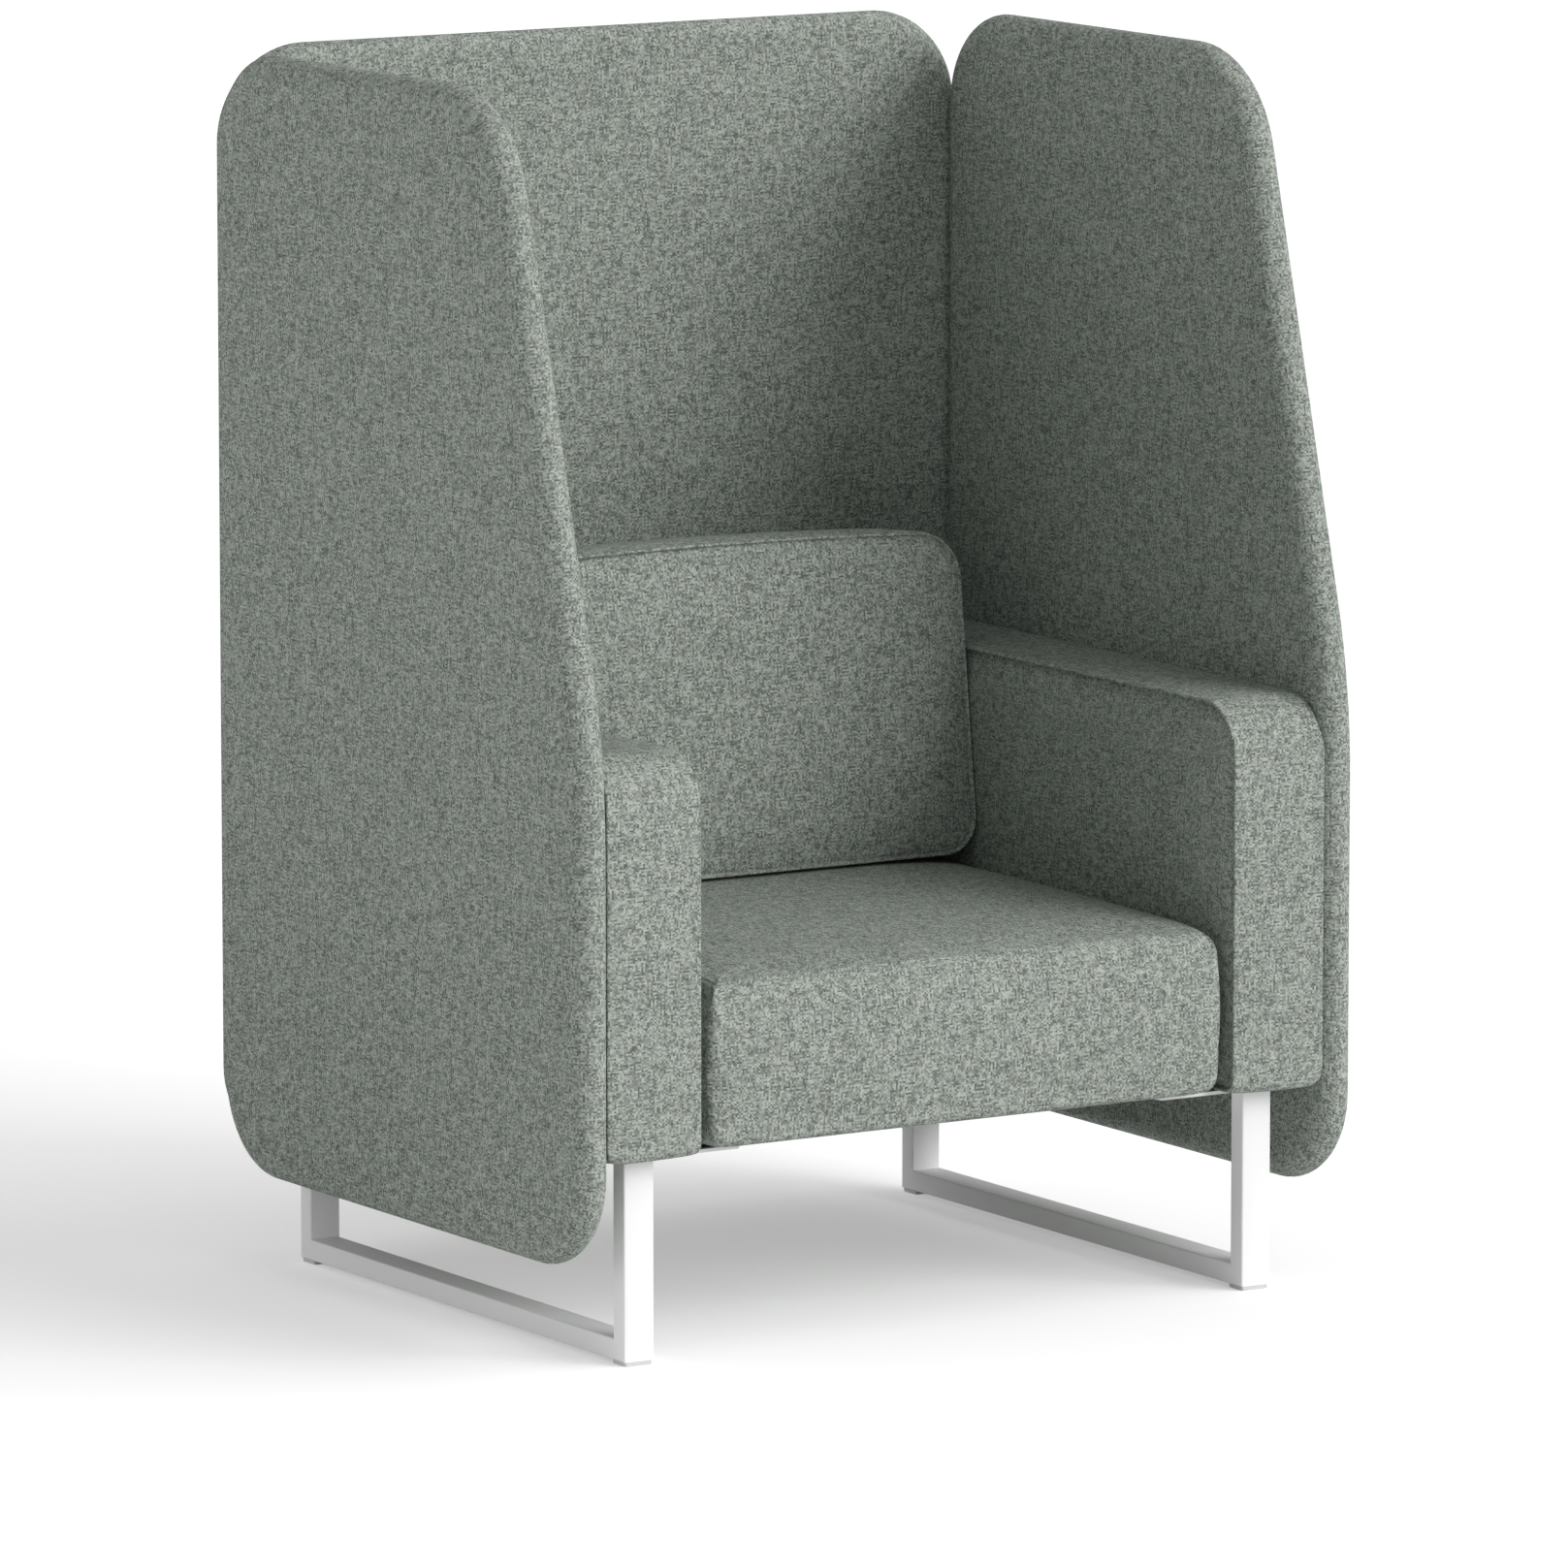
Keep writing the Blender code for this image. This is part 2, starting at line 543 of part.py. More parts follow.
def back_rings(layer, rear_y, hem):
    # Rings from the upright rear face to the leaning, crowned front face, which its seam draws in all round.
    corner = (BACK_CORNER_RADIUS, CORNER_STEPS)

    def ring(inset, depth, from_rear, crown=0.0, draw=1.0):
        side = BACK_HALF_WIDTH - BACK_SIDE_DRAW * draw
        low = BACK_BOTTOM_DRAW * draw
        high = BACK_HEIGHT - BACK_TOP_DRAW * draw
        corners = [
            (-side, low, *corner),
            (side, low, *corner),
            (side, high, *corner),
            (-side, high, *corner),
        ]
        points = []
        for x, rise in rounded_outline(corners, inset, EDGE_STEPS):
            front = BACK_FRONT_Y + BACK_LEAN * rise
            y = rear_y - depth if from_rear else front + depth
            share = (y - front) / (BLOCK_REAR_Y - front)
            swell = (1 - (x / BACK_HALF_WIDTH) ** 2) * (1 - (2 * rise / BACK_HEIGHT - 1) ** 2)
            height = BACK_BOTTOM_Z + rise * (1 - share * BACK_TOP_FALL / BACK_HEIGHT)
            points.append((x, y - crown * swell, height))
        return points

    wall = SEAM_RIDGE + layer
    rings = [ring(COVER_HEM, 0, True, draw=0.0)] if hem else []
    edge = quarter(BACK_EDGE_RADIUS, layer)
    rings += [ring(inset, depth - layer, True, draw=0.0) for inset, depth in edge]
    rings.append(ring(wall, layer + BACK_BOX_ROUND, False, draw=BACK_BOX_DRAW))
    rings.append(ring(wall, layer + SEAM_WIDTH, False))
    rings.append(ring(ridge_inset(layer), layer + SEAM_WIDTH / 2, False))
    rings.append(ring(wall, layer, False))
    half = BACK_HEIGHT / 2
    rings += [ring(wall + half * share, layer, False, BACK_CROWN) for share in BACK_FACE_RINGS]
    peak = BACK_FRONT_Y + BACK_LEAN * half + layer - BACK_CROWN
    rings.append([(0, peak, BACK_BOTTOM_Z + half)])
    return rings


def back_cushion(fabric, foam, plywood):
    inside = back_rings(COVER_THICKNESS, BLOCK_REAR_Y - COVER_THICKNESS, True)
    loft("back_cover", inside[::-1] + back_rings(0, BLOCK_REAR_Y, True), fabric)
    block = loft("back_foam", back_rings(SKIN, BACK_BOARD_FRONT_Y - FIT_GAP, False)[::-1], foam)
    edge = WALL + BACK_EDGE_RADIUS
    half = BACK_HALF_WIDTH - edge
    top = BACK_HEIGHT - BACK_TOP_FALL - edge
    radius = BACK_CORNER_RADIUS
    corners = [
        (-half, edge, radius, CORNER_STEPS),
        (half, edge, radius, CORNER_STEPS),
        (half, top, radius, CORNER_STEPS),
        (-half, top, radius, CORNER_STEPS),
    ]
    outline = rounded_outline(corners)
    sides = (BACK_BOARD_FRONT_Y, BACK_BOARD_REAR_Y)
    back = loft("back_board", [[(x, y, BACK_BOTTOM_Z + rise) for x, rise in outline] for y in sides], plywood)
    return block, back


# Sled legs

def tube_section(first, second, first_size, second_size, wall):
    radius = max(TUBE_RADIUS - wall, LEAST_RADIUS)
    a = first_size / 2 - wall
    b = second_size / 2 - wall
    corner = (radius, SMALL_CORNER_STEPS)
    corners = [(-a, -b, *corner), (a, -b, *corner), (a, b, *corner), (-a, b, *corner)]
    return [(first + u, second + v) for u, v in rounded_outline(corners)]


def sled(name, side, powder_coat, plastic):
    # Two legs and a floor rail of rectangular tube, mitred where they are welded.
    plates = {}
    for end, outer_y, inward in (("front", SLED_FRONT_Y, 1), ("rear", SLED_REAR_Y, -1)):
        rings = []
        for wall in (0, TUBE_WALL):
            leg_y = outer_y + inward * TUBE_DEPTH / 2
            section = tube_section(side * SLED_X, leg_y, TUBE_WIDTH, TUBE_DEPTH, wall)
            foot = [(x, y, RAIL_BOTTOM_Z + inward * (y - outer_y)) for x, y in section]
            head = [(x, y, LEG_TOP_Z) for x, y in section]
            rings += [foot, head] if wall == 0 else [head, foot]
        loft(name + "_" + end + "_leg", rings, powder_coat, looped=True)

        plate_y = outer_y + inward * PLATE_DEPTH / 2
        plate_x = side * (SLED_OUTER_X + PLATE_INNER_X) / 2
        a = (SLED_OUTER_X - PLATE_INNER_X) / 2
        b = PLATE_DEPTH / 2
        corner = (PLATE_RADIUS, SMALL_CORNER_STEPS)
        corners = [(-a, -b, *corner), (a, -b, *corner), (a, b, *corner), (-a, b, *corner)]
        outline = [(plate_x + u, plate_y + v) for u, v in rounded_outline(corners)]
        levels = (PLATE_BOTTOM_Z, LEG_HEIGHT)
        plate = loft(name + "_" + end + "_plate", [[(x, y, z) for x, y in outline] for z in levels], powder_coat)
        bolt_y = outer_y + inward * LEG_BOLT_INSET
        plates[end] = (plate, (side * SLED_X, bolt_y, PLATE_BOTTOM_Z - FIT_GAP))

        pad_y = outer_y + inward * (PAD_END_INSET + PAD_LENGTH / 2)
        pad_width = TUBE_WIDTH - 2 * PAD_SIDE_INSET
        rings = []
        for inset, z in ((PAD_DRAFT, 0), (0, PAD_DRAFT), (0, PAD_THICKNESS)):
            outline = tube_section(side * SLED_X, pad_y, pad_width, PAD_LENGTH, inset)
            rings.append([(x, y, z) for x, y in outline])
        loft(name + "_" + end + "_pad", rings, plastic)

    rings = []
    mitre = FIT_GAP * math.sqrt(2)
    for wall in (0, TUBE_WALL):
        section = tube_section(side * SLED_X, RAIL_BOTTOM_Z + TUBE_DEPTH / 2, TUBE_WIDTH, TUBE_DEPTH, wall)
        front = [(x, SLED_FRONT_Y + (z - RAIL_BOTTOM_Z) + mitre, z) for x, z in section]
        rear = [(x, SLED_REAR_Y - (z - RAIL_BOTTOM_Z) - mitre, z) for x, z in section]
        rings += [front, rear] if wall == 0 else [rear, front]
    loft(name + "_floor_rail", rings, powder_coat, looped=True)
    return plates


def seat_bearer(name, side, timber):
    low_x = PLATE_INNER_X + BEARER_MARGIN
    low = (low_x, SLED_FRONT_Y + BEARER_MARGIN, LEG_HEIGHT + FIT_GAP)
    high = (low_x + BEARER_WIDTH, SLED_REAR_Y - BEARER_MARGIN, SEAT_BOTTOM_Z - FIT_GAP)
    board(name, *sided(side, low, high), timber)


# The whole booth

def main():
    for old in list(bpy.data.objects):
        bpy.data.objects.remove(old)

    fabric = finish("grey_green_weave", (0.27, 0.30, 0.28), 0.9)
    foam = finish("cut_foam", (0.85, 0.80, 0.62), 0.95)
    board_wood = finish("particle_board", (0.50, 0.38, 0.24), 0.8)
    plywood = finish("birch_plywood", (0.62, 0.47, 0.30), 0.7)
    timber = finish("sawn_pine", (0.66, 0.50, 0.30), 0.75)
    strap = finish("elastic_webbing", (0.10, 0.10, 0.10), 0.9)
    cloth = finish("dust_cloth", (0.03, 0.03, 0.03), 0.95)
    powder_coat = finish("white_powder_coat", (0.84, 0.85, 0.85), 0.45)
    plastic = finish("pale_pad_plastic", (0.70, 0.71, 0.71), 0.5)
    zinc = finish("zinc_plated_steel", (0.60, 0.60, 0.58), 0.35, 1.0)

    seat(fabric, foam, timber, strap, cloth)
    back_foam, back_board = back_cushion(fabric, foam, plywood)

    def at_back(a, b, depth):
        return (a, BACK_SCREEN_Y + depth, b)

    back_layers = screen("back_screen", back_screen_corners(), at_back, fabric, foam, board_wood)
    core_reach = SCREEN_CORE_THICKNESS / 2 - BOLT_END_COVER
    bolt_y = BACK_BOARD_FRONT_Y - FIT_GAP
    length = BACK_SCREEN_Y + core_reach - bolt_y
    for label, x in (("left", -BACK_BOLT_SPACING / 2), ("right", BACK_BOLT_SPACING / 2)):
        seat_point = (x, bolt_y, BACK_BOTTOM_Z + BACK_BOLT_RISE)
        drilled = (back_foam, back_board, *back_layers)
        bolt("back_screen_" + label + "_bolt", seat_point, (0, 1, 0), length, zinc, drilled)

    for name, side in (("left", -1), ("right", 1)):

        def at_side(a, b, depth, side=side):
            return (side * (SIDE_SCREEN_X + depth), a, b)

        layers = screen(name + "_screen", side_screen_corners(), at_side, fabric, foam, board_wood)
        arm_layers, outer_panel, posts = arm(name + "_arm", side, fabric, foam, plywood, timber)
        panel_face = ARM_FRAME_OUTER_X - ARM_OUTER_PANEL - FIT_GAP
        length = SIDE_SCREEN_X + core_reach - panel_face
        drilled = (outer_panel, *layers)
        for end, bolt_y in (
            ("front", FRONT_POST_REAR_Y + SCREEN_BOLT_POST_GAP),
            ("rear", REAR_POST_FRONT_Y - SCREEN_BOLT_POST_GAP),
        ):
            seat_point = (side * panel_face, bolt_y, ARM_BOTTOM_Z + SCREEN_BOLT_RISE)
            bolt(name + "_screen_" + end + "_bolt", seat_point, (side, 0, 0), length, zinc, drilled)
        plates = sled(name + "_sled", side, powder_coat, plastic)
        for end, (plate, seat_point) in plates.items():
            drilled = (plate, posts[end], *arm_layers)
            bolt(name + "_leg_" + end + "_bolt", seat_point, (0, 0, 1), LEG_BOLT_LENGTH, zinc, drilled)
        seat_bearer(name + "_seat_bearer", side, timber)


main()
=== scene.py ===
import math
from functools import partial

import bmesh
import bpy
import numpy as np
from mathutils import Matrix, Vector


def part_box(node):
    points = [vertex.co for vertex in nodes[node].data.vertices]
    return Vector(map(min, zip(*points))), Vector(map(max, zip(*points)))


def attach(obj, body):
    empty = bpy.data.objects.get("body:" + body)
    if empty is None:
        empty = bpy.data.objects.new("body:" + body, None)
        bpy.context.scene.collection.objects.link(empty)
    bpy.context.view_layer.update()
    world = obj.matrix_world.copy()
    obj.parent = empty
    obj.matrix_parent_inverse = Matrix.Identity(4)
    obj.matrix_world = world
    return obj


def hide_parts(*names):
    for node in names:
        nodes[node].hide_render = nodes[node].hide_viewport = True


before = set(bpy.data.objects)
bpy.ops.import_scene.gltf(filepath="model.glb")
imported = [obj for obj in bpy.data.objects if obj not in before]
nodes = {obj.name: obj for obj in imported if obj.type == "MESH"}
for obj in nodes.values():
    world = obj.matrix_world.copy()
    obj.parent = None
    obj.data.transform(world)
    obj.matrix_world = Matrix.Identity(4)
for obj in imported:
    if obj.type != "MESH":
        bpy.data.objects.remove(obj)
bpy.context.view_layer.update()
scene = bpy.context.scene
scene.view_settings.view_transform = "Standard"
print("frame loaded:", len(nodes), "nodes")


# Colours and shader nodes

def linear(hexText):
    # sRGB hex as the linear colour that shader sockets hold
    values = [int(hexText[i:i + 2], 16) / 255 for i in (1, 3, 5)]
    return tuple(v / 12.92 if v <= 0.04045 else ((v + 0.055) / 1.055) ** 2.4 for v in values) + (1.0,)


def addNode(tree, kind, inputs=None, **settings):
    # a node with its settings; an input takes a value, another node's first output, or a socket
    node = tree.nodes.new(kind)
    for name, value in settings.items():
        setattr(node, name, value)
    for key, value in (inputs or {}).items():
        if isinstance(value, bpy.types.Node):
            value = value.outputs[0]
        if isinstance(value, bpy.types.NodeSocket):
            tree.links.new(value, node.inputs[key])
        else:
            node.inputs[key].default_value = value
    return node


def newMaterial(name):
    material = bpy.data.materials.new(name)
    material.use_nodes = True
    tree = material.node_tree
    tree.nodes.clear()
    return material, tree, partial(addNode, tree)


# Woven melange upholstery

weave = {
    "warpPitch": 0.0024,    # metres between upright threads
    "weftPitch": 0.0021,    # metres between level threads
    "dark": "#606862",
    "middle": "#8f958e",
    "light": "#b3bab2",
    "teal": "#909e98",
    "brown": "#9a9a90",
    "slub": 0.75,           # how far one stretch of thread differs from the next
    "slubLength": 0.009,    # metres
    "fleck": 0.75,          # how far one float of thread differs from the next
    "cloud": 0.10,          # soft clouds where yarn lots meet
    "cloudSize": 0.012,
    "seedStep": 3.7,        # keeps the two ways of thread apart
    "tintSize": 0.022,      # metres, patches of bluer and browner yarn
    "tintRange": (0.36, 0.64),
    "tintShare": 0.18,
    "bump": 0.05,
    "bumpDepth": 0.0003,
    "roughness": 0.92,
    "specular": 0.12,
}


def wovenUpholstery():
    # plain weave of mixed yarns: thin light and dark stretches of thread both ways, quite matt
    s = weave
    material, tree, add = newMaterial("wovenMelangeUpholstery")
    threads = add("ShaderNodeUVMap", uv_map="threads")
    threadsXy = add("ShaderNodeSeparateXYZ", {0: threads})
    perMetre = (1 / s["warpPitch"], 1 / s["weftPitch"], 1.0)
    grid = add("ShaderNodeVectorMath", {0: threads, 1: perMetre}, operation="MULTIPLY")
    cell = add("ShaderNodeVectorMath", {0: grid}, operation="FLOOR")
    place = add("ShaderNodeVectorMath", {0: grid}, operation="FRACTION")
    cellXy = add("ShaderNodeSeparateXYZ", {0: cell})
    placeXy = add("ShaderNodeSeparateXYZ", {0: place})

    # chequer of which thread lies on top
    count = add("ShaderNodeMath", {0: cellXy.outputs[0], 1: cellXy.outputs[1]}, operation="ADD")
    count = add("ShaderNodeMath", {0: count, 1: 0.5}, operation="MULTIPLY")
    count = add("ShaderNodeMath", {0: count}, operation="FRACT")
    weftTop = add("ShaderNodeMath", {0: count, 1: 0.25}, operation="GREATER_THAN")

    # each thread changes tone every few floats, from a start of its own
    stretches = []
    for axis in (0, 1):
        shift = add("ShaderNodeTexWhiteNoise", {"W": cellXy.outputs[axis]}, noise_dimensions="1D")
        way = add("ShaderNodeMath", {0: threadsXy.outputs[1 - axis], 1: 1 / s["slubLength"], 2: shift.outputs[0]},
                  operation="MULTIPLY_ADD")
        way = add("ShaderNodeMath", {0: way}, operation="FLOOR")
        at = add("ShaderNodeCombineXYZ", {0: cellXy.outputs[axis], 1: way, 2: s["seedStep"] * axis})
        stretches.append(add("ShaderNodeTexWhiteNoise", {"Vector": at}, noise_dimensions="3D").outputs[0])
    slub = add("ShaderNodeMix", {0: weftTop, 2: stretches[0], 3: stretches[1]})
    fleck = add("ShaderNodeTexWhiteNoise", {"Vector": cell}, noise_dimensions="2D")
    cloud = add("ShaderNodeTexNoise", {"Vector": threads, "Scale": 1 / s["cloudSize"], "Detail": 1.0},
                noise_dimensions="2D")
    parts = [(slub, s["slub"]), (fleck, s["fleck"]), (cloud, s["cloud"])]
    tone = 0.5 - sum(share for part, share in parts) / 2
    for part, share in parts:
        tone = add("ShaderNodeMath", {0: part.outputs[0], 1: share, 2: tone}, operation="MULTIPLY_ADD")

    ramp = add("ShaderNodeValToRGB", {0: tone})
    ramp.color_ramp.elements[0].color = linear(s["dark"])
    ramp.color_ramp.elements[1].color = linear(s["light"])
    ramp.color_ramp.elements.new(0.5).color = linear(s["middle"])
    tint = add("ShaderNodeTexNoise", {"Vector": threads, "Scale": 1 / s["tintSize"], "Detail": 3.0, "Roughness": 0.7},
               noise_dimensions="2D")
    tint = add("ShaderNodeMapRange", {0: tint.outputs[0], 1: s["tintRange"][0], 2: s["tintRange"][1]})
    yarn = add("ShaderNodeMix", {0: tint.outputs[0], 6: linear(s["teal"]), 7: linear(s["brown"])}, data_type="RGBA")
    colour = add("ShaderNodeMix", {0: s["tintShare"], 6: ramp.outputs[0], 7: yarn.outputs[2]},
                 data_type="RGBA", blend_type="COLOR")

    relief = add("ShaderNodeMath", {0: placeXy.outputs[0], 1: math.pi}, operation="MULTIPLY")
    relief = add("ShaderNodeMath", {0: relief}, operation="SINE")
    bump = add("ShaderNodeBump", {"Height": relief, "Strength": s["bump"], "Distance": s["bumpDepth"]})
    shader = add("ShaderNodeBsdfPrincipled", {
        "Base Color": colour.outputs[2], "Normal": bump,
        "Roughness": s["roughness"], "Specular IOR Level": s["specular"],
    })
    add("ShaderNodeOutputMaterial", {0: shader})
    return material


# Other finishes

coatLook = {
    "colour": "#f8f8f8", "specular": 0.4, "roughness": (0.40, 0.48), "patchSize": 0.08,
    "peelSize": 0.0012, "peel": 0.12, "peelDepth": 0.0002,
}


def powderCoat():
    # sprayed and baked satin white: a faint orange peel that softens the highlights
    s = coatLook
    material, tree, add = newMaterial("bakedWhitePowderCoat")
    spot = add("ShaderNodeTexCoord")
    peel = add("ShaderNodeTexNoise", {"Vector": spot.outputs["Object"], "Scale": 1 / s["peelSize"], "Detail": 1.0})
    patch = add("ShaderNodeTexNoise", {"Vector": spot.outputs["Object"], "Scale": 1 / s["patchSize"]})
    rough = add("ShaderNodeMapRange", {0: patch.outputs[0], 3: s["roughness"][0], 4: s["roughness"][1]})
    bump = add("ShaderNodeBump", {"Height": peel.outputs[0], "Strength": s["peel"], "Distance": s["peelDepth"]})
    shader = add("ShaderNodeBsdfPrincipled", {
        "Base Color": linear(s["colour"]), "Roughness": rough.outputs[0], "Normal": bump,
        "Specular IOR Level": s["specular"],
    })
    add("ShaderNodeOutputMaterial", {0: shader})
    return material


padLook = {"colour": "#d2d4d4", "roughness": 0.5, "grainSize": 0.0009, "grain": 0.2, "grainDepth": 0.0002}


def mouldedPad():
    # injection-moulded polypropylene: pale grey with a fine spark-eroded grain
    s = padLook
    material, tree, add = newMaterial("mouldedPolypropylene")
    spot = add("ShaderNodeTexCoord")
    grain = add("ShaderNodeTexNoise", {"Vector": spot.outputs["Object"], "Scale": 1 / s["grainSize"], "Detail": 2.0})
    bump = add("ShaderNodeBump", {"Height": grain.outputs[0], "Strength": s["grain"], "Distance": s["grainDepth"]})
    shader = add("ShaderNodeBsdfPrincipled", {
        "Base Color": linear(s["colour"]), "Roughness": s["roughness"], "Normal": bump,
    })
    add("ShaderNodeOutputMaterial", {0: shader})
    return material


clothLook = {
    "dark": "#1b1b1c", "light": "#2c2c2d", "roughness": 0.95, "dotSize": 0.003, "dotEdge": (0.1, 0.6),
    "dot": 0.3, "dotDepth": 0.0003,
}


def nonWoven():
    # spun-bonded black cloth: fibres pressed in small dots, which leaves a dull speckle
    s = clothLook
    material, tree, add = newMaterial("spunBondedCloth")
    spot = add("ShaderNodeTexCoord")
    dots = add("ShaderNodeTexVoronoi", {"Vector": spot.outputs["Object"], "Scale": 1 / s["dotSize"]})
    tone = add("ShaderNodeMapRange", {0: dots.outputs["Distance"], 1: s["dotEdge"][0], 2: s["dotEdge"][1]})
    colour = add("ShaderNodeMix", {0: tone.outputs[0], 6: linear(s["dark"]), 7: linear(s["light"])}, data_type="RGBA")
    bump = add("ShaderNodeBump", {"Height": tone.outputs[0], "Strength": s["dot"], "Distance": s["dotDepth"]})
    shader = add("ShaderNodeBsdfPrincipled", {
        "Base Color": colour.outputs[2], "Roughness": s["roughness"], "Normal": bump,
    })
    add("ShaderNodeOutputMaterial", {0: shader})
    return material


boardLook = {"dark": "#a98a60", "light": "#cdb083", "roughness": 0.85, "flakeSize": 0.006}


def chipboard():
    # pressed wood chips: flat flakes of mixed tans
    s = boardLook
    material, tree, add = newMaterial("pressedChipboard")
    spot = add("ShaderNodeTexCoord")
    flakes = add("ShaderNodeTexVoronoi", {"Vector": spot.outputs["Object"], "Scale": 1 / s["flakeSize"]})
    tone = add("ShaderNodeSeparateColor", {0: flakes.outputs["Color"]})
    colour = add("ShaderNodeMix", {0: tone.outputs[0], 6: linear(s["dark"]), 7: linear(s["light"])}, data_type="RGBA")
    shader = add("ShaderNodeBsdfPrincipled", {"Base Color": colour.outputs[2], "Roughness": s["roughness"]})
    add("ShaderNodeOutputMaterial", {0: shader})
    return material


waveRepeat = 0.314   # metres between the bands of a wave texture whose scale is 1
woodLook = {"roughness": 0.75, "waverSize": 0.15, "distortion": 1.5}


def grainedWood(name, pale, deep, spacing, bend):
    # sawn or peeled wood, also used darkened as painted shade: long bands of grain along the piece
    s = woodLook
    material, tree, add = newMaterial(name)
    spot = add("ShaderNodeTexCoord")
    waver = add("ShaderNodeTexNoise", {"Vector": spot.outputs["Object"], "Scale": 1 / s["waverSize"], "Detail": 2.0})
    moved = add("ShaderNodeVectorMath", {0: waver.outputs["Color"], 1: (bend,) * 3, 2: spot.outputs["Object"]},
                operation="MULTIPLY_ADD")
    rings = add("ShaderNodeTexWave", {
        "Vector": moved, "Scale": waveRepeat / spacing, "Distortion": s["distortion"], "Detail": 2.0,
    }, bands_direction="Z")
    colour = add("ShaderNodeMix", {0: rings.outputs["Fac"], 6: linear(pale), 7: linear(deep)}, data_type="RGBA")
    shader = add("ShaderNodeBsdfPrincipled", {"Base Color": colour.outputs[2], "Roughness": s["roughness"]})
    add("ShaderNodeOutputMaterial", {0: shader})
    return material


webbingLook = {"dark": "#2b2b2b", "light": "#434343", "roughness": 0.9, "ribSpacing": 0.003}


def elasticWebbing():
    # rubber-cored webbing: close black ribs along the strap
    s = webbingLook
    material, tree, add = newMaterial("elasticWebbing")
    spot = add("ShaderNodeTexCoord")
    ribs = add("ShaderNodeTexWave", {"Vector": spot.outputs["Object"], "Scale": waveRepeat / s["ribSpacing"]},
               bands_direction="X")
    colour = add("ShaderNodeMix", {0: ribs.outputs["Fac"], 6: linear(s["dark"]), 7: linear(s["light"])},
                 data_type="RGBA")
    shader = add("ShaderNodeBsdfPrincipled", {"Base Color": colour.outputs[2], "Roughness": s["roughness"]})
    add("ShaderNodeOutputMaterial", {0: shader})
    return material


zincLook = {"colour": "#c8c9c6", "roughness": (0.30, 0.45), "cloudSize": 0.004}


def zincPlate():
    # passivated zinc on rolled steel: a dull metal with faint clouding
    s = zincLook
    material, tree, add = newMaterial("passivatedZincPlate")
    spot = add("ShaderNodeTexCoord")
    cloud = add("ShaderNodeTexNoise", {"Vector": spot.outputs["Object"], "Scale": 1 / s["cloudSize"], "Detail": 3.0})
    rough = add("ShaderNodeMapRange", {0: cloud.outputs[0], 3: s["roughness"][0], 4: s["roughness"][1]})
    shader = add("ShaderNodeBsdfPrincipled", {
        "Base Color": linear(s["colour"]), "Metallic": 1.0, "Roughness": rough.outputs[0],
    })
    add("ShaderNodeOutputMaterial", {0: shader})
    return material


fabric = wovenUpholstery()
coat = powderCoat()
padPlastic = mouldedPad()
dustCloth = nonWoven()
ply = grainedWood("peeledBirchPlywood", "#d3b588", "#c09c6b", 0.0014, 0.01)
pine = grainedWood("sawnPine", "#dcbd8c", "#c39b63", 0.006, 0.03)
# painted shade: the bearers get near-black pine, which stands for the shade in the gap between the seat and the plates
pineDarkenedForPaintedShade = grainedWood("pineBlackenedAsPaintedShade", "#2c2b29", "#1d1c1b", 0.006, 0.03)
finishByEnding = {
    "core_board": chipboard(), "panel": ply, "back_board": ply,
    "post": pine, "bearer": pineDarkenedForPaintedShade, "seat_frame": pine,
    "webbing": elasticWebbing(), "plate": coat, "pad": padPlastic, "bolt": zincPlate(),
}
for name, node in nodes.items():
    for ending, material in finishByEnding.items():
        if name.endswith(ending):
            node.data.materials.clear()
            node.data.materials.append(material)
print("materials made")


# Sewn shells: rings of points along a rounded outline, closed with a panel at each end

leastRadius = 0.0006
panelCornerCount = 4
measuredPoint = 3              # points past the first corner, where the way across the rows is measured
panelThreadShift = (3.1, 6.3)  # metres, so that no panel repeats its neighbour's threads


def outlineRing(corners, inset):
    # corners are (a, b, radius, arcSteps, lineSteps), counter-clockwise; the outline is drawn in by the inset
    arcs = []
    for k, (a, b, radius, arcSteps, lineSteps) in enumerate(corners):
        here, before = Vector((a, b)), Vector(corners[k - 1][:2])
        after = Vector(corners[(k + 1) % len(corners)][:2])
        wayIn, wayOut = (here - before).normalized(), (after - here).normalized()
        sideIn, sideOut = Vector((-wayIn.y, wayIn.x)), Vector((-wayOut.y, wayOut.x))
        bisector = (sideIn + sideOut) / (1 + sideIn.dot(sideOut))
        turn = math.atan2(wayIn.x * wayOut.y - wayIn.y * wayOut.x, wayIn.dot(wayOut))
        arcRadius = max(radius - inset, leastRadius)
        centre = here + bisector * (inset + arcRadius)
        spokes = [Matrix.Rotation(turn * i / arcSteps, 2) @ sideIn for i in range(arcSteps + 1)]
        arcs.append([centre - arcRadius * spoke for spoke in spokes])
    points = []
    for k, arc in enumerate(arcs):
        following = arcs[(k + 1) % len(arcs)][0]
        steps = corners[k][4]
        points += arc
        points += [arc[-1].lerp(following, i / steps) for i in range(1, steps)]
    return np.array([tuple(p) for p in points])


def cornerMarks(corners):
    # ring indices at the middle of each arc; the first four are the corners of the end panels
    marks, at = [], 0
    for a, b, radius, arcSteps, lineSteps in corners:
        marks.append(at + arcSteps // 2)
        at += arcSteps + lineSteps
    return marks[:panelCornerCount]


def roundEdge(radius, steps, wall=0.0):
    # (inset, depth) of a rounded edge, from the flat face to the wall
    turns = [math.pi / 2 * i / steps for i in range(steps + 1)]
    return [(wall + radius * (1 - math.sin(t)), radius * (1 - math.cos(t))) for t in turns]


def cornerCut(radius, distance):
    # how far a rounded corner stands back, at a distance from the side that it rounds
    return radius * (1 - math.sqrt(1 - max(1 - distance / radius, 0.0) ** 2))


